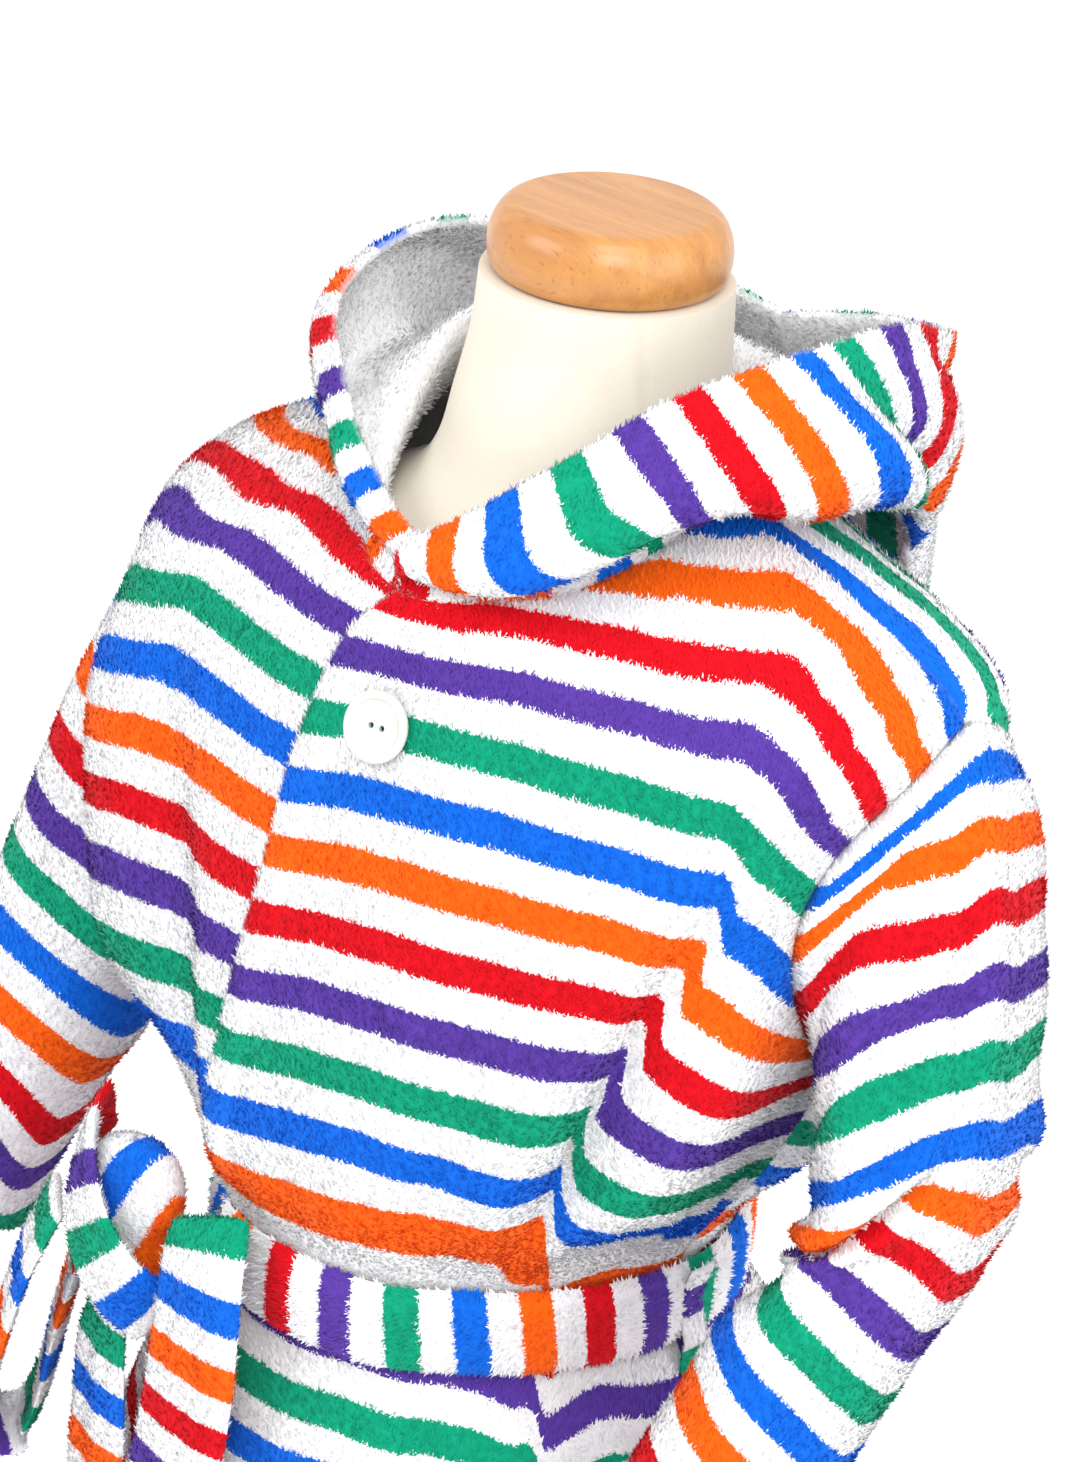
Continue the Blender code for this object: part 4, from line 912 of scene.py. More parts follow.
def bend_push(off):
    """The cloth sinks into the crease, hangs over it from above and swells below it."""
    window = ramp(np.abs(wrapped(SLEEVE_AROUND))[None, :], 26, 60)
    return window * (5.0 * bell(off + 12, 10) - 9.0 * bell(off, 5) + 4.0 * bell(off - 13, 9))


def make_sleeve(name, table, folds, side, upper, bend=None, lower=None):
    edge, outward = armhole_ring(side)
    outside = sleeve_rings(table, folds)
    head = edge + outward * SLEEVE_HEAD
    lead = np.linspace(0, 1, 6)[1:, None, None]
    shoulder = head + (outside[0] - head) * lead
    outside = np.concatenate([(edge - outward * TERRY)[None], edge[None] + outward[None] * 0.6,
                              head[None], shoulder[:-1], outside])
    lengths = run_lengths(outside)
    to_cuff = lengths[-1:] - lengths
    normal = grid_normals(outside, tube=True) * side
    mean = lengths.mean(axis=1, keepdims=True)
    along = sleeve_cloth(upper, mean)
    stand = hem_lift(to_cuff, CUFF_HEM)
    if bend:
        off = bend_off(bend, mean)
        stand = stand + bend_push(off)
        along = np.where(off < 0, along, sleeve_cloth(lower, mean))
    outside = outside + normal * stand[..., None]
    inside = outside - normal * TERRY
    across = np.radians(SLEEVE_AROUND)[None, :] * 45 + 0 * along
    uv = np.stack([across, along], -1) * MM
    return cloth_shell(name, outside, inside, uv, hem_loft(to_cuff, CUFF_HEM), tube=True)


left_sleeve = make_sleeve("left_sleeve", LEFT_SLEEVE, LEFT_SLEEVE_FOLDS, 1, LEFT_UPPER_STRIPES,
                          LEFT_BEND, LEFT_LOWER_STRIPES)
right_sleeve = make_sleeve("right_sleeve", RIGHT_SLEEVE, RIGHT_SLEEVE_FOLDS, -1, RIGHT_SLEEVE_STRIPES)
finish_cloth(left_sleeve, ["sleeve_left"], seed=13)
finish_cloth(right_sleeve, ["sleeve_right"], seed=17)

# ---------------------------------------------------------------- hood
# Two halves joined by a seam along the middle and sewn to the neckline.  It is thrown back:
# it rolls over the shoulders into a bag behind the neck, and its white inner face shows.
HOOD_COLUMNS = (
    "angle", "knee_r", "knee_z", "lay_r", "lay_z", "fold_r", "fold_z", "crest_r", "crest_z",
    "rim_r", "rim_z")
HOOD_LEFT = (
    (-3, 110, 1025, 111, 1028, 113, 1031, 112, 1037, 107, 1043),
    (28, 92, 1047, 104, 1045, 118, 1038, 120, 1053, 96, 1081),
    (58, 77, 1076, 99, 1068, 117, 1071, 116, 1092, 92, 1114),
    (90, 74, 1091, 110, 1072, 140, 1079, 139, 1103, 106, 1132),
    (118, 75, 1093, 113, 1062, 141, 1056, 144, 1092, 124, 1132),
    (142, 82, 1090, 121, 1048, 141, 1003, 145, 1056, 148, 1109),
    (162, 86, 1086, 124, 996, 160, 906, 174, 996, 139, 1099),
    (180, 86, 1084, 122, 976, 148, 866, 172, 980, 120, 1091),
)
HOOD_RIGHT = (
    (-2, 103, 1024, 103.5, 1028, 104, 1032, 103, 1036, 100, 1040),
    (28, 91, 1042, 98, 1040, 104, 1041, 106, 1050, 98, 1058),
    (54, 77, 1067, 96, 1059, 109, 1057, 113, 1069, 107, 1079),
    (80, 73, 1087, 104, 1065, 130, 1065, 138, 1086, 127, 1097),
    (102, 73, 1096, 110, 1065, 139, 1062, 144, 1098, 128, 1113),
    (130, 85, 1092, 126, 1050, 158, 1010, 160, 1060, 124, 1109),
    (156, 86, 1087, 124, 1000, 164, 905, 176, 996, 122, 1098),
    (180, 86, 1084, 122, 976, 148, 866, 172, 980, 120, 1091),
)
HOOD_SECTION_STEPS = (4, 9, 12, 15, 10)
HOOD_ACROSS = 72
HOOD_FOLD_COLUMNS = ("angle", "place", "angle_width", "place_width", "height", "slant")
LEFT_HOOD_FOLDS = (
    (110, 3.7, 5, 0.8, -13, 12), (98, 3.6, 6, 0.8, 6, 12), (125, 4.0, 7, 0.9, 7, 12),
    (140, 3.2, 6, 0.9, -5, 4),
    (84, 2.4, 7, 0.7, 3, 4), (70, 2.6, 6, 0.8, -3, 4), (48, 2.4, 6, 0.8, 2, 4), (155, 2.6, 6, 1.0, 4, 4),
)
RIGHT_HOOD_FOLDS = (
    (118, 3.4, 7, 0.9, 5, 4), (98, 3.2, 6, 0.9, -4, 4), (140, 2.8, 7, 1.0, 4, 4), (64, 2.8, 7, 0.8, 3, 4),
)
# Where the stripes cross the rim and the rolled fold, as angles from centre front.
HOOD_STRIPE_COLUMNS = ("stripe", "rim", "roll")
HOOD_LEFT_STRIPES = (
    (-2, -22, -15), (-1, -7, -1), (0, 8, 14), (1, 19.5, 35), (2, 34, 51), (3, 47.5, 61), (4, 62, 74),
    (5, 75.5, 84), (6, 89, 97), (7, 98, 106), (8, 111.5, 109), (9, 125, 113), (10, 139, 120),
    (11, 153, 134), (12, 167, 154), (13, 181, 178),
)
HOOD_RIGHT_STRIPES = (
    (-2, -22, -15), (-1, -7, -1), (0, 8, 14), (1, 22, 28), (2, 36, 42), (3, 51, 57), (4, 66, 72),
    (5, 80, 86), (6, 94, 99), (7, 108, 112), (8, 121, 124), (9, 134, 137), (10, 147, 149),
    (11, 160, 161), (12, 172, 173), (13, 184, 184),
)


def hood_cloth(stripes, angle, places):
    """Millimetres of cloth along the hood's rim, slanting as the roll turns over."""
    number = column(stripes, HOOD_STRIPE_COLUMNS, "stripe")
    rim = np.interp(angle, column(stripes, HOOD_STRIPE_COLUMNS, "rim"), number)
    roll = np.interp(angle, column(stripes, HOOD_STRIPE_COLUMNS, "roll"), number)
    share = np.clip((places[-1] - places) / 2.0, 0, 1.6)[:, None]
    return -(rim[None, :] + (roll - rim)[None, :] * share) * STRIPE_PITCH


def make_hood_half(name, table, side, edge_name, folds, stripes):
    edge = FRONT_EDGES[NECKLINE][EDGE_COLUMNS.index(edge_name)] * side
    angle = edge + (180 - 0.2 - edge) * np.linspace(0, 1, HOOD_ACROSS + 1)
    station = np.interp(angle, column(table, HOOD_COLUMNS, "angle"), np.arange(len(table)))
    section = {part: smooth(column(table, HOOD_COLUMNS, part), station) for part in HOOD_COLUMNS[1:]}
    lift = overlap_lift(angle) if side > 0 else np.zeros_like(angle)
    row = np.full_like(angle, NECKLINE)
    outward = body_normal(angle * side, row)
    seam = body_point(angle * side, row) + outward * lift[:, None]
    below = body_point(angle * side, row - 0.1) + outward * lift[:, None]
    first = seam + unit(seam - below) * 0.6
    turn = np.radians(angle)
    direction = np.stack([side * np.sin(turn), -np.cos(turn)], -1)
    controls = [first]
    for part in ("knee", "lay", "fold", "crest", "rim"):
        reach = section[part + "_r"][:, None]
        controls.append(np.concatenate([direction * reach, section[part + "_z"][:, None]], -1))
    controls = np.array(controls)
    controls[1:, -1, 0] = first[-1, 0]
    places = stepped(HOOD_SECTION_STEPS)
    outside = smooth(controls, places)
    normal = grid_normals(outside) * side
    for entry in folds:
        fold = dict(zip(HOOD_FOLD_COLUMNS, entry))
        off = (angle - fold["angle"])[None, :] + (places[:, None] - fold["place"]) * fold["slant"]
        rise_by = fold["height"] * bell(off, fold["angle_width"]) * bell(
            places[:, None] - fold["place"], fold["place_width"])
        outside = outside + normal * (rise_by * (1 - bell(angle[None, :] - 180, 6)))[..., None]
    along_rim = run_lengths(outside[-1])
    lengths = run_lengths(outside)
    to_rim = lengths[-1:] - lengths
    to_middle = along_rim[-1] - along_rim
    normal = grid_normals(outside) * side
    hem = hem_lift(to_rim, HEM_WIDTH) + seam_lift(to_middle)[None, :] * 0.7
    outside = outside + normal * hem[..., None]
    inside = outside - normal * (TERRY + np.maximum(hem, 0))[..., None]
    inside[0] = first - outward * TERRY
    inside[:, -1, 0] = outside[:, -1, 0] = first[-1, 0]
    lofts = hem_loft(to_rim, HEM_WIDTH) * seam_loft(to_middle)[None, :]
    uv = np.stack([lengths, hood_cloth(stripes, angle, places)], -1) * MM
    return cloth_shell(name, outside, inside, uv, lofts)


left_hood = make_hood_half("left_hood", HOOD_LEFT, 1, "left_edge", LEFT_HOOD_FOLDS, HOOD_LEFT_STRIPES)
right_hood = make_hood_half("right_hood", HOOD_RIGHT, -1, "right_edge", RIGHT_HOOD_FOLDS, HOOD_RIGHT_STRIPES)
finish_cloth(left_hood, ["hood_left"], seed=19, inner=1.0,
             per_square_metre=450000)
finish_cloth(right_hood, ["hood_right"], seed=23, inner=1.0,
             per_square_metre=450000)

# ---------------------------------------------------------------- belt round the waist
# A long tube of the same terry, turned and pressed flat, stitched along its edge.  The
# stripes run across it.  It lies on the fronts and the back and holds their fullness in.
BELT_CLOTH = 5.0
BELT_STAND = 0.7
BELT_CROWN = 1.6
belt_terry = make_terry("belt terry", 0.08)
BELT_AT = 25.0


def make_belt():
    angle = np.linspace(-20, 340, 241)[:-1]
    share = np.linspace(0, 1, 15)
    rows = BELT_LOW + (BELT_HIGH - BELT_LOW) * share
    low_point, high_point = body_point(angle, BELT_LOW), body_point(angle, BELT_HIGH)
    low_out, high_out = body_normal(angle, BELT_LOW + 0.3), body_normal(angle, BELT_HIGH - 0.3)
    point = low_point + (high_point - low_point) * share[:, None, None]
    outward = unit(low_out + (high_out - low_out) * share[:, None, None])
    cover = np.where(angle < 90, overlap_lift(angle), 0.0)
    cover = np.where(angle > 330, 0, cover) * ramp(angle, -20, -16) + BELT_STAND
    rounded = np.sqrt(np.maximum(1 - np.abs(2 * share - 1) ** 5, 0))[:, None]
    near = cover[None, :] + (1 - rounded) * 2.0
    puff = (0.5 * np.sin(np.radians(angle * 11))[None, :]
            + 0.4 * np.sin(np.radians(angle * 23 + 40))[None, :])
    crown = (BELT_CLOTH + BELT_CROWN + puff) * rounded - 0.9 * bell((share - 0.86)[:, None] * 40, 1.6)
    far = near + np.maximum(crown, 0.6)
    outside = point + outward * far[..., None]
    inside = point + outward * near[..., None]
    along = BELT_AT - run_lengths(outside[7])
    slack = 6 * (share[:, None] - 0.5) * np.sin(np.radians(angle * 2))[None, :]
    uv = np.stack([np.repeat(share[:, None] * 40, len(angle), axis=1), -along[None, :] + slack], -1) * MM
    lofts = 1 - 0.7 * bell((share - 0.86)[:, None] * 40, 1.4) + 0 * along[None, :]
    return cloth_shell("belt", outside, inside, uv, lofts, dyed_inside=1.0, tube=True)


belt = make_belt()
finish_cloth(belt, ["belt_waist"], belt_terry, seed=29,
             lean=ALONG_THE_BELT)

# ---------------------------------------------------------------- belt loops
# A narrow strip of terry on each side seam, sewn down above and below the belt.
LOOP_WIDTH, LOOP_THICK, LOOP_STAND = 13.0, 2.4, 1.0
LOOP_ROWS = (3.5, 5.06)


def make_belt_loop(name, side, stripe_at):
    across = np.degrees(LOOP_WIDTH / 2 / BODY_ROWS[BELT_LOW][4]) * np.linspace(-1, 1, 9)
    rows = np.linspace(*LOOP_ROWS, 40)
    stand = BELT_STAND + BELT_CLOTH + BELT_CROWN + LOOP_STAND
    lift = LOOP_STAND + stand * ramp(rows, LOOP_ROWS[0] + 0.05, BELT_LOW - 0.06)
    angle, row = np.meshgrid((90 + across) * side, rows)
    rounded = 0.7 * (1 - np.abs(np.linspace(-1, 1, 9)) ** 4)
    height = lift[:, None] + rounded[None, :]
    point, outward = body_point(angle, row), body_normal(angle, row)
    outside = point + outward * (height + LOOP_THICK - 0.7)[..., None]
    inside = point + outward * lift[:, None, None]
    along = run_lengths(outside[:, 4])
    uv = np.stack([angle * 2, stripe_at - along[:, None] + 0 * angle], -1) * MM
    return cloth_shell(name, outside, inside, uv, 0.8, dyed_inside=1.0)


left_loop = make_belt_loop("left_belt_loop", 1, 95.0)
right_loop = make_belt_loop("right_belt_loop", -1, 70.0)
finish_cloth(left_loop, ["belt_loop_left"], seed=31)
finish_cloth(right_loop, ["belt_loop_right"], seed=37)

# ---------------------------------------------------------------- knot, bow and tails
# The belt is tied beside the front edge.  One end wraps over the knot, the other comes
# back as a single bow loop; the two tails hang flat in front of the skirt.
BAND_COLUMNS = ("x", "y", "z", "width", "facing")
TAIL_FRONT = (
    (-31, -167, 737, 38, -4), (-26, -175, 726, 44, 0), (-24, -179, 704, 47, 0),
    (-25, -180, 674, 48, 2), (-29, -180, 638, 48, 2), (-36, -182, 592, 48, 0),
    (-43, -185, 546, 48, -3), (-47, -189, 500, 48, -4), (-50, -193, 456, 48, -4),
)
TAIL_BACK = (
    (-93, -163, 662, 34, -20), (-94, -165, 640, 44, -18), (-93, -166, 600, 47, -16),
    (-92, -168, 550, 48, -15), (-91, -171, 500, 48, -15), (-91, -174, 452, 48, -15),
)
BOW = (
    (-129, -161, 703, 32, -38), (-139, -167, 674, 42, -44), (-149, -171, 634, 46, -46),
    (-158, -171, 596, 47, -48), (-161, -165, 578, 47, -48), (-157, -154, 573, 47, -48),
    (-151, -147, 592, 46, -48), (-144, -143, 634, 42, -48), (-135, -141, 668, 34, -46),
)
# the end that wraps over the knot, from behind its top left to under the near tail
WRAP = (
    (-112, -148, 752, 30, -60), (-108, -164, 744, 33, -40), (-98, -177, 727, 35, -20),
    (-84, -183, 708, 36, -4), (-68, -181, 692, 36, 10), (-56, -170, 680, 34, 30),
)
KNOT_CENTRE, KNOT_HALF, KNOT_LEAN = (-85.0, -161.0, 711.0), (27.0, 16.0, 41.0), 5.0
KNOT_STRIPE_AT = 40.0
BAND_ROWS = 9
BAND_ACROSS = 22


def make_band(name, table, stripe_at, crease, edge_on=False):
    """A stretch of the flat belt; its facing turns its width, or its face where it is edge_on."""
    places = np.linspace(0, len(table) - 1, BAND_ROWS * (len(table) - 1) + 1)
    line = {part: smooth(column(table, BAND_COLUMNS, part), places) for part in BAND_COLUMNS}
    middle = np.stack([line["x"], line["y"], line["z"]], -1)
    way = unit(np.gradient(middle, axis=0))
    turn = np.radians(line["facing"])
    if edge_on:
        level = np.cross(way, np.stack([np.sin(turn), -np.cos(turn), np.zeros_like(turn)], -1))
    else:
        level = np.stack([np.cos(turn), np.sin(turn), np.zeros_like(turn)], -1)
    breadth = unit(level - way * np.sum(level * way, axis=-1, keepdims=True))
    outward = np.cross(way, breadth) * (-1 if edge_on else 1)
    across = np.linspace(-0.5, 0.5, BAND_ACROSS + 1)
    crown = 1.5 * (1 - (2 * across) ** 2)
    rounded = np.sqrt(np.maximum(1 - np.abs(2 * across) ** 6, 0.02))
    wave = np.zeros((len(places), len(across)))
    for place, at, place_width, width, height in crease:
        wave += height * bell(places[:, None] - place, place_width) * bell(across[None, :] - at, width)
    points = (middle[:, None] + breadth[:, None] * (line["width"][:, None] * across)[..., None]
              + outward[:, None] * (crown[None, :] + wave)[..., None])
    half = outward[:, None] * (BELT_CLOTH / 2 * rounded)[None, :, None]
    along = stripe_at + run_lengths(middle)[:, None] + 0 * across[None, :]
    stitched = bell((np.abs(across) - 0.42) * 48, 1.2)
    half = half * (1 - 0.3 * stitched * (across > 0))[None, :, None]
    uv = np.stack([across[None, :] * 48 + 0 * along, along], -1) * MM
    lofts = 1 - 0.6 * stitched[None, :] * (across > 0)[None, :] + 0 * along
    return cloth_shell(name, points + half, points - half, uv, lofts, dyed_inside=1.0)


def ring_faces(rings, around):
    """The faces between stacked closed rings of points, with a cap at each end."""
    faces = []
    for ring in range(rings - 1):
        for place in range(around):
            following = (place + 1) % around
            faces.append((ring * around + place, ring * around + following,
                          (ring + 1) * around + following, (ring + 1) * around + place))
    faces.append(tuple(range(around))[::-1])
    faces.append(tuple((rings - 1) * around + place for place in range(around)))
    return faces


def make_knot():
    """The wad of crossed belt under the wrapping end."""
    around = 40
    turn = np.arange(around) * 2 * math.pi / around
    crease = 1 - 0.10 * bell(turn - 1.1, 0.25) - 0.08 * bell(turn - 5.0, 0.3)
    rings = []
    for level in np.linspace(-0.985, 0.985, 26):
        size = (1 - abs(level) ** 3.0) ** (1 / 3.0)
        pinch = 1 - 0.18 * bell(level, 0.22)
        rings.append(np.stack([
            KNOT_CENTRE[0] + KNOT_HALF[0] * size * pinch * crease * np.cos(turn) + KNOT_LEAN * level,
            KNOT_CENTRE[1] + KNOT_HALF[1] * size * crease * np.sin(turn),
            KNOT_CENTRE[2] + np.full(around, KNOT_HALF[2] * level)], -1))
    faces = ring_faces(len(rings), around)
    flat = np.array(rings).reshape(-1, 3)
    uv = np.stack([flat[:, 2], flat[:, 0] * 0.9 - flat[:, 2] * 0.4 + KNOT_STRIPE_AT], -1) * MM
    knot = new_object("knot", flat, faces, uv, {"loft": np.ones(len(flat)), "dyed": np.ones(len(flat))})
    kept = knot.data.attributes.new("outer", "FLOAT", "FACE")
    kept.data.foreach_set("value", np.ones(len(faces)))
    return knot


knot = make_knot()
wrap = make_band("knot_wrap", WRAP, 24.0, ((2.0, -0.2, 1.2, 0.1, -1.2), (3.0, 0.2, 1.2, 0.1, -1.0)), True)
tail_front = make_band("near_tail", TAIL_FRONT, 84.0, (
    (2.2, -0.3, 1.2, 0.07, -1.2), (3.5, 0.2, 2.0, 0.08, 1.2), (5.5, -0.1, 2.0, 0.1, 1.2)))
tail_back = make_band("far_tail", TAIL_BACK, 80.0, ((1.5, 0.1, 1.5, 0.1, 1.3), (3.0, -0.2, 1.5, 0.1, -1.2)))
bow = make_band("bow", BOW, 80.0, (
    (1.5, 0.1, 1.2, 0.1, -1.3), (2.5, -0.2, 1.2, 0.1, 1.2), (6.6, 0.0, 1.2, 0.12, 1.4)))
finish_cloth(knot, ["belt_knot"], belt_terry, seed=41)
finish_cloth(wrap, [], belt_terry, seed=43, inner=1.0)
finish_cloth(tail_front, ["belt_tail_front"], belt_terry, seed=47,
             inner=1.0)
finish_cloth(tail_back, ["belt_tail_back"], belt_terry, seed=53,
             inner=1.0)
finish_cloth(bow, ["belt_bow"], belt_terry, seed=59, inner=1.0)

# ---------------------------------------------------------------- button
# A moulded two-hole button with a raised rim and a dished middle, sewn to the left front
# over its buttonhole.
BUTTON_RADIUS, BUTTON_THICK, BUTTON_Z, BUTTON_ANGLE = 15.0, 4.2, 968.0, 4.5
BUTTON_STAND, BUTTON_TURN, HOLE_RADIUS, HOLE_SPACING = 2.8, 9.0, 1.3, 5.2


def turned_mesh(profile, steps):
    """A turned piece about its own Z axis from (radius, height) pairs, foot to top."""
    turn = np.arange(steps) * 2 * math.pi / steps
    rings = np.array([np.stack([radius * np.sin(turn), -radius * np.cos(turn), np.full(steps, height)], -1)
                      for radius, height in profile])
    return rings.reshape(-1, 3), ring_faces(len(rings), steps)


def button_frame():
    row = np.interp(BUTTON_Z, column(BODY_ROWS, BODY_COLUMNS, "front_z"), np.arange(len(BODY_ROWS)))
    outward = body_normal(BUTTON_ANGLE, row)
    place = body_point(BUTTON_ANGLE, row) + outward * (OVERLAP_LIFT + BUTTON_STAND)
    lean = math.atan2(outward[2], -outward[1])
    tilt, spin = math.pi / 2 - lean, math.radians(BUTTON_TURN)
    about_x = np.array([[1, 0, 0], [0, math.cos(tilt), -math.sin(tilt)],
                        [0, math.sin(tilt), math.cos(tilt)]])
    about_z = np.array([[math.cos(spin), -math.sin(spin), 0], [math.sin(spin), math.cos(spin), 0],
                        [0, 0, 1]])
    return place, about_z @ about_x


button_place, button_turn = button_frame()


def make_button():
    rim, top = BUTTON_RADIUS, BUTTON_THICK
    profile = [(rim * 0.78, 0.0), (rim * 0.9, top * 0.08), (rim * 0.965, top * 0.3),
               (rim * 0.995, top * 0.5)]
    for step in range(9):
        bend = math.pi * step / 8
        profile.append((rim * (0.875 + 0.12 * math.cos(bend)), top * (0.72 + 0.28 * math.sin(bend))))
    profile += [(rim * 0.72, top * 0.62), (rim * 0.66, top * 0.555), (rim * 0.5, top * 0.53),
                (rim * 0.2, top * 0.52)]
    points, faces = turned_mesh(profile, 96)
    mesh = bpy.data.meshes.new("button")
    mesh.from_pydata([tuple(point * MM) for point in points], [], faces)
    button = add_object("moulded_button", mesh)
    drills = []
    for side in (-1, 1):
        bpy.ops.mesh.primitive_cylinder_add(
            vertices=24, radius=HOLE_RADIUS * MM, depth=top * 4 * MM,
            location=(side * HOLE_SPACING / 2 * MM, 0, 0))
        drills.append(bpy.context.object)
        cut = button.modifiers.new("hole", "BOOLEAN")
        cut.object = drills[-1]
        cut.operation = "DIFFERENCE"
    cut_mesh = evaluated_mesh(button)
    for drill in drills:
        bpy.data.objects.remove(drill)
    bpy.data.objects.remove(button)
    places = np.empty(len(cut_mesh.vertices) * 3)
    cut_mesh.vertices.foreach_get("co", places)
    places = places.reshape(-1, 3) @ button_turn.T + to_frame(button_place)
    cut_mesh.vertices.foreach_set("co", places.ravel())
    cut_mesh.shade_smooth()
    cut_mesh.set_sharp_from_angle(angle=math.radians(38))
    return add_object("moulded_button", cut_mesh)


def make_button_material():
    made, tree, shader = new_material("moulded button")
    own = node(tree, "ShaderNodeTexCoord", (-900, 0))
    cloud = node(tree, "ShaderNodeTexNoise", (-700, 0),
        {"Scale": 160.0, "Detail": 3.0, "Vector": own.outputs["Object"]})
    tint = node(tree, "ShaderNodeValToRGB", (-450, 0), {"Fac": cloud.outputs["Fac"]})
    tint.color_ramp.elements[0].position = 0.35
    tint.color_ramp.elements[0].color = (0.57, 0.585, 0.54, 1)
    tint.color_ramp.elements[1].position = 0.7
    tint.color_ramp.elements[1].color = (0.66, 0.67, 0.63, 1)
    bump = node(tree, "ShaderNodeBump", (-250, -250),
        {"Strength": 0.12, "Distance": 0.0003, "Height": cloud.outputs["Fac"]})
    feed(tree, shader,
        {"Roughness": 0.42, "Coat Weight": 0.15, "Base Color": tint.outputs["Color"],
         "Normal": bump.outputs["Normal"]})
    return made


button = make_button()
button.data.materials.clear()
button.data.materials.append(make_button_material())
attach(button, "root")
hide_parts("button")

# ---------------------------------------------------------------- dress form
# A padded torso covered in fine cream cotton, gathered in at the neck with one small pleat
# and closed by a turned beech cap, lacquered honey brown.
FORM_COLUMNS = ("z", "half_width", "front_y", "side_y", "back_y", "square")
FORM_ROWS = (
    (604, 89, -108, -12, 64, 2.1),
    (612, 97, -116, -12, 70, 2.1),
    (680, 92, -120, -12, 66, 2.1),
    (735, 89, -122, -12, 63, 2.1),
    (790, 97, -126, -12, 74, 2.2),
    (850, 110, -128, -7, 90, 2.3),
    (905, 124, -124, -3, 94, 2.4),
    (950, 136, -117, 1, 90, 2.4),
    (985, 142, -108, 5, 80, 2.3),
    (1008, 128, -99, 5, 70, 2.2),
    (1024, 100, -90, 4, 63, 2.1),
    (1040, 75, -78, 3, 56, 2.0),
    (1058, 63, -67, 1, 53, 2.0),
    (1082, 58, -61, 0, 53, 2.0),
    (1108, 54, -55, 0, 53, 2.0),
    (1134, 52.5, -53, 0, 52.5, 2.0),
)
FORM_ROUND = 144


def make_form():
    place = np.linspace(0, len(FORM_ROWS) - 1, 96)
    line = {name: smooth(column(FORM_ROWS, FORM_COLUMNS, name), place)[:, None] for name in FORM_COLUMNS}
    turn = np.arange(FORM_ROUND) * 2 * math.pi / FORM_ROUND
    side, ahead = np.sin(turn)[None, :], np.cos(turn)[None, :]
    reach = ring_reach(line, side, ahead)
    degrees = wrapped(np.degrees(turn)[None, :])
    height = line["z"]
    pleat_at = 68 - (height - 1040) * 0.12
    pleat = ramp(height, 1035, 1060) * (1 - ramp(height, 1122, 1134) * 0.4)
    reach = (reach - 0.9 * pleat * bell(degrees - pleat_at, 1.6)
             + 0.7 * pleat * bell(degrees - pleat_at + 5, 3.5))
    for seam in (90, -90, 180):
        reach = reach - 0.35 * bell(wrapped(degrees - seam), 0.9)
    reach = reach + 0.35 * ramp(height, 1070, 1120) * np.sin(np.radians(degrees * 9 + height * 1.3)) * 0.5
    points = np.stack([reach * side, line["side_y"] - reach * ahead, height + 0 * reach], -1)
    piece = new_object("form_cover", points.reshape(-1, 3), ring_faces(len(place), FORM_ROUND))
    piece.data.set_sharp_from_angle(angle=math.radians(60))
    return piece


def make_cover_material():
    made = bpy.data.materials.new("fine cream cotton")
    made.use_nodes = True
    tree = made.node_tree
    link = tree.links.new
    shader = tree.nodes["Principled BSDF"]
    own = node(tree, "ShaderNodeTexCoord", (-1100, 0))
    warp = node(tree, "ShaderNodeTexWave", (-850, 200),
        {"Scale": 420.0, "Distortion": 0.6}, wave_type="BANDS", bands_direction="Z")
    weft = node(tree, "ShaderNodeTexWave", (-850, -100),
        {"Scale": 420.0, "Distortion": 0.6}, wave_type="BANDS", bands_direction="X")
    cloud = node(tree, "ShaderNodeTexNoise", (-850, -400), {"Scale": 22.0, "Detail": 5.0})
    for texture in (warp, weft, cloud):
        link(own.outputs["Object"], texture.inputs["Vector"])
    weave = node(tree, "ShaderNodeMath", (-600, 100),
        {0: warp.outputs["Fac"], 1: weft.outputs["Fac"]}, operation="MULTIPLY")
    tint = node(tree, "ShaderNodeValToRGB", (-500, -300), {"Fac": cloud.outputs["Fac"]})
    tint.color_ramp.elements[0].position = 0.3
    tint.color_ramp.elements[0].color = (0.70, 0.635, 0.53, 1)
    tint.color_ramp.elements[1].position = 0.75
    tint.color_ramp.elements[1].color = (0.75, 0.69, 0.59, 1)
    bump = node(tree, "ShaderNodeBump", (-250, -100),
        {"Strength": 0.3, "Distance": 0.0002, "Height": weave.outputs[0]})
    feed(tree, shader,
        {"Roughness": 0.9, "Sheen Weight": 0.15, "Specular IOR Level": 0.2,
         "Base Color": tint.outputs["Color"], "Normal": bump.outputs["Normal"]})
    return made


form = make_form()
form.data.materials.append(make_cover_material())
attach(form, "root")
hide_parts("form_torso")

# ---------------------------------------------------------------- neck cap
# Turned from one block of beech: a rounded top over a straight band, sanded and lacquered,
# with the wood's short pore flecks on top and end grain on the band.
CAP_RADIUS, CAP_FOOT_Z, CAP_WIDEST, CAP_THICK = 50.5, 1134.5, 11.0, 29.0
CAP_TOP_ROUND = 11.5


def make_cap():
    profile = [(CAP_RADIUS * 0.88, CAP_FOOT_Z), (CAP_RADIUS * 0.925, CAP_FOOT_Z + 0.4),
               (CAP_RADIUS * 0.95, CAP_FOOT_Z + 1.6), (CAP_RADIUS * 0.975, CAP_FOOT_Z + 4),
               (CAP_RADIUS * 0.992, CAP_FOOT_Z + 7)]
    for step in range(21):
        bend = math.pi / 2 * step / 20
        profile.append((CAP_RADIUS - CAP_TOP_ROUND + CAP_TOP_ROUND * math.cos(bend),
                        CAP_FOOT_Z + CAP_WIDEST + (CAP_THICK - CAP_WIDEST) * math.sin(bend)))
    points, faces = turned_mesh(profile, 128)
    return new_object("wooden_cap", points, faces)


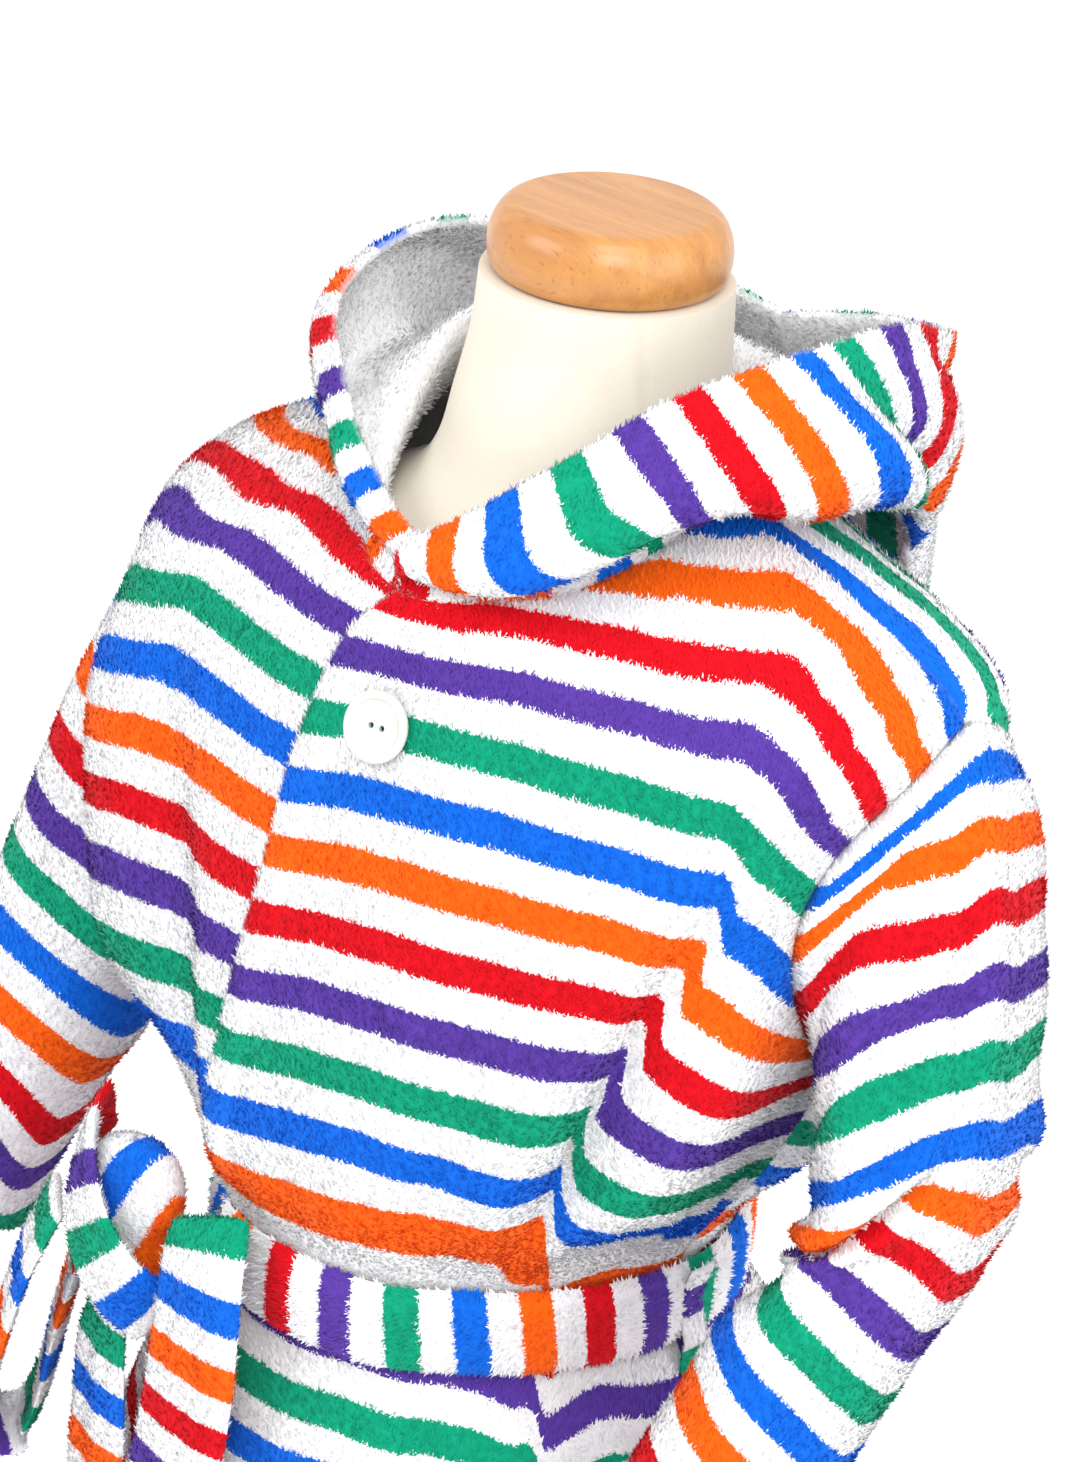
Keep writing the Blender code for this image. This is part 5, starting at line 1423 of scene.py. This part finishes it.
def make_wood():
    made = bpy.data.materials.new("lacquered beech")
    made.use_nodes = True
    tree = made.node_tree
    link = tree.links.new
    shader = tree.nodes["Principled BSDF"]
    own = node(tree, "ShaderNodeTexCoord", (-1300, 0))
    centre = node(tree, "ShaderNodeMapping", (-1100, 0),
        {"Location": (-NECK_AXIS[0], -NECK_AXIS[1], -1.15), "Vector": own.outputs["Object"]})
    grain_way = node(tree, "ShaderNodeMapping", (-900, 200),
        {"Rotation": (0.05, 0.0, math.radians(38)), "Scale": (9.0, 120.0, 60.0),
         "Vector": centre.outputs["Vector"]})
    grain = node(tree, "ShaderNodeTexNoise", (-700, 250),
        {"Scale": 1.0, "Detail": 6.0, "Roughness": 0.6, "Vector": grain_way.outputs["Vector"]})
    fleck_way = node(tree, "ShaderNodeMapping", (-900, -200),
        {"Rotation": (0.0, 0.0, math.radians(38)), "Scale": (160.0, 1500.0, 420.0),
         "Vector": centre.outputs["Vector"]})
    flecks = node(tree, "ShaderNodeTexNoise", (-700, -200),
        {"Scale": 1.0, "Detail": 1.0, "Vector": fleck_way.outputs["Vector"]})
    tint = node(tree, "ShaderNodeValToRGB", (-450, 250), {"Fac": grain.outputs["Fac"]})
    tint.color_ramp.elements[0].position = 0.32
    tint.color_ramp.elements[0].color = (0.43, 0.165, 0.032, 1)
    tint.color_ramp.elements[1].position = 0.68
    tint.color_ramp.elements[1].color = (0.60, 0.27, 0.062, 1)
    dark = node(tree, "ShaderNodeMapRange", (-450, -200),
        {"From Min": 0.62, "From Max": 0.72, "To Min": 1.0, "To Max": 0.72, "Value": flecks.outputs["Fac"]})
    tinted = node(tree, "ShaderNodeVectorMath", (-200, 150),
        {0: tint.outputs["Color"], "Scale": dark.outputs["Result"]}, operation="SCALE")
    bump = node(tree, "ShaderNodeBump", (-200, -250),
        {"Strength": 0.05, "Distance": 0.0004, "Height": grain.outputs["Fac"]})
    feed(tree, shader,
        {"Coat Weight": 0.6, "Coat Roughness": 0.22, "Roughness": 0.42,
         "Base Color": tinted.outputs["Vector"], "Normal": bump.outputs["Normal"]})
    return made


cap = make_cap()
cap.data.set_sharp_from_angle(angle=math.radians(50))
cap.data.materials.append(make_wood())
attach(cap, "root")
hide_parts("neck_cap")

# ---------------------------------------------------------------- stand
# A painted steel tube rises from a round, weighted base that is pressed from sheet.
POLE_RADIUS, BASE_RADIUS, BASE_THICK, HUB_RADIUS, HUB_HEIGHT = 12.5, 165.0, 14.0, 30.0, 34.0


def make_painted_steel():
    made, tree, shader = new_material("painted steel")
    own = node(tree, "ShaderNodeTexCoord", (-900, 0))
    cloud = node(tree, "ShaderNodeTexNoise", (-700, 0),
        {"Scale": 700.0, "Detail": 2.0, "Vector": own.outputs["Object"]})
    tint = node(tree, "ShaderNodeValToRGB", (-450, 100), {"Fac": cloud.outputs["Fac"]})
    tint.color_ramp.elements[0].color = (0.018, 0.018, 0.020, 1)
    tint.color_ramp.elements[1].color = (0.045, 0.045, 0.048, 1)
    rough = node(tree, "ShaderNodeMapRange", (-450, -200),
        {"To Min": 0.32, "To Max": 0.52, "Value": cloud.outputs["Fac"]})
    bump = node(tree, "ShaderNodeBump", (-250, -350),
        {"Strength": 0.15, "Distance": 0.0002, "Height": cloud.outputs["Fac"]})
    feed(tree, shader,
        {"Metallic": 0.0, "Coat Weight": 0.3, "Base Color": tint.outputs["Color"],
         "Roughness": rough.outputs["Result"], "Normal": bump.outputs["Normal"]})
    return made


painted_steel = make_painted_steel()
pole_points, pole_faces = turned_mesh(((POLE_RADIUS, HUB_HEIGHT + 0.3), (POLE_RADIUS, 603.7)), 64)
pole = new_object("pole", pole_points, pole_faces)
base_profile = [(BASE_RADIUS - 1, 0), (BASE_RADIUS, 1), (BASE_RADIUS, BASE_THICK * 0.45)]
base_profile += [(BASE_RADIUS - 8 + 8 * math.cos(a), BASE_THICK * 0.45 + 5.5 * math.sin(a))
                 for a in np.linspace(0.2, math.pi / 2, 7)]
base_profile += [(BASE_RADIUS - 30, BASE_THICK + 0.5), (HUB_RADIUS + 16, BASE_THICK + 3.5),
                 (HUB_RADIUS + 6, BASE_THICK + 6), (HUB_RADIUS, BASE_THICK + 10),
                 (HUB_RADIUS - 5, HUB_HEIGHT - 4), (HUB_RADIUS - 7, HUB_HEIGHT - 0.8),
                  (HUB_RADIUS - 9, HUB_HEIGHT)]
base_points, base_faces = turned_mesh(base_profile, 144)
base = new_object("weighted_base", base_points, base_faces)
for piece, replaced in ((pole, "stand_pole"), (base, "stand_base")):
    piece.data.set_sharp_from_angle(angle=math.radians(40))
    piece.data.materials.append(painted_steel)
    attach(piece, "root")
    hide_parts(replaced)

# ---------------------------------------------------------------- floor, light and camera
# A white studio: one pale floor and four soft lights, from the upper left, from the right,
# from the camera's side and from above.
bpy.ops.mesh.primitive_plane_add(size=60, location=(0, 0, 0))
floor = bpy.context.object
floor.name = "floor"
floor_paint = bpy.data.materials.new("pale floor")
floor_paint.use_nodes = True
floor_paint.node_tree.nodes["Principled BSDF"].inputs["Base Color"].default_value = (0.92, 0.92, 0.92, 1)
floor_paint.node_tree.nodes["Principled BSDF"].inputs["Roughness"].default_value = 0.9
floor_paint.node_tree.nodes["Principled BSDF"].inputs["Emission Color"].default_value = (1, 1, 1, 1)
floor_paint.node_tree.nodes["Principled BSDF"].inputs["Emission Strength"].default_value = 0.2
floor.data.materials.append(floor_paint)
world = bpy.data.worlds.new("studio")
world.use_nodes = True
world.node_tree.nodes["Background"].inputs["Color"].default_value = (1, 1, 1, 1)
world.node_tree.nodes["Background"].inputs["Strength"].default_value = 1.0
bpy.context.scene.world = world
for name, place, size, power in (("key", (-1.6, -2.6, 3.0), 1.8, 38), ("fill", (2.8, 0.1, 2.1), 2.2, 30),
                                 ("front", (1.9, -1.9, 3.0), 1.4, 38), ("above", (0.9, -0.8, 3.6), 1.2, 18)):
    light = bpy.data.lights.new(name, "AREA")
    light.size = size
    light.energy = power
    lamp = add_object(name, light)
    lamp.location = place
    way = np.array([NECK_AXIS[0], NECK_AXIS[1], 0.85]) - np.array(place)
    lamp.rotation_euler = (math.atan2(np.hypot(way[0], way[1]), -way[2]), 0, math.atan2(-way[0], way[1]))
bpy.context.scene.view_settings.view_transform = "Standard"

CAMERA_AZIMUTH, CAMERA_ELEVATION, CAMERA_ROLL = 40.0, 25.0, 5.0
CAMERA_PLACE = (1211.0, -1462.0, 1812.0)
LENS = 121.66                # millimetres, for a 36 mm tall picture
azimuth, elevation, roll = (math.radians(turn) for turn in (CAMERA_AZIMUTH, CAMERA_ELEVATION, CAMERA_ROLL))
back_way = np.array([math.sin(azimuth) * math.cos(elevation), -math.cos(azimuth) * math.cos(elevation),
                     math.sin(elevation)])
level_right = np.array([math.cos(azimuth), math.sin(azimuth), 0.0])
level_up = np.cross(back_way, level_right)
camera_right = level_right * math.cos(roll) + level_up * math.sin(roll)
camera_up = -level_right * math.sin(roll) + level_up * math.cos(roll)
eye = bpy.data.cameras.new("camera")
eye.sensor_fit = "VERTICAL"
eye.sensor_height = 36.0
eye.lens = LENS
camera = add_object("camera", eye)
turn_matrix = Matrix([list(line) for line in np.stack([camera_right, camera_up, back_way], 1)]).to_4x4()
camera.matrix_world = Matrix.Translation(to_frame(CAMERA_PLACE)) @ turn_matrix
bpy.context.scene.camera = camera
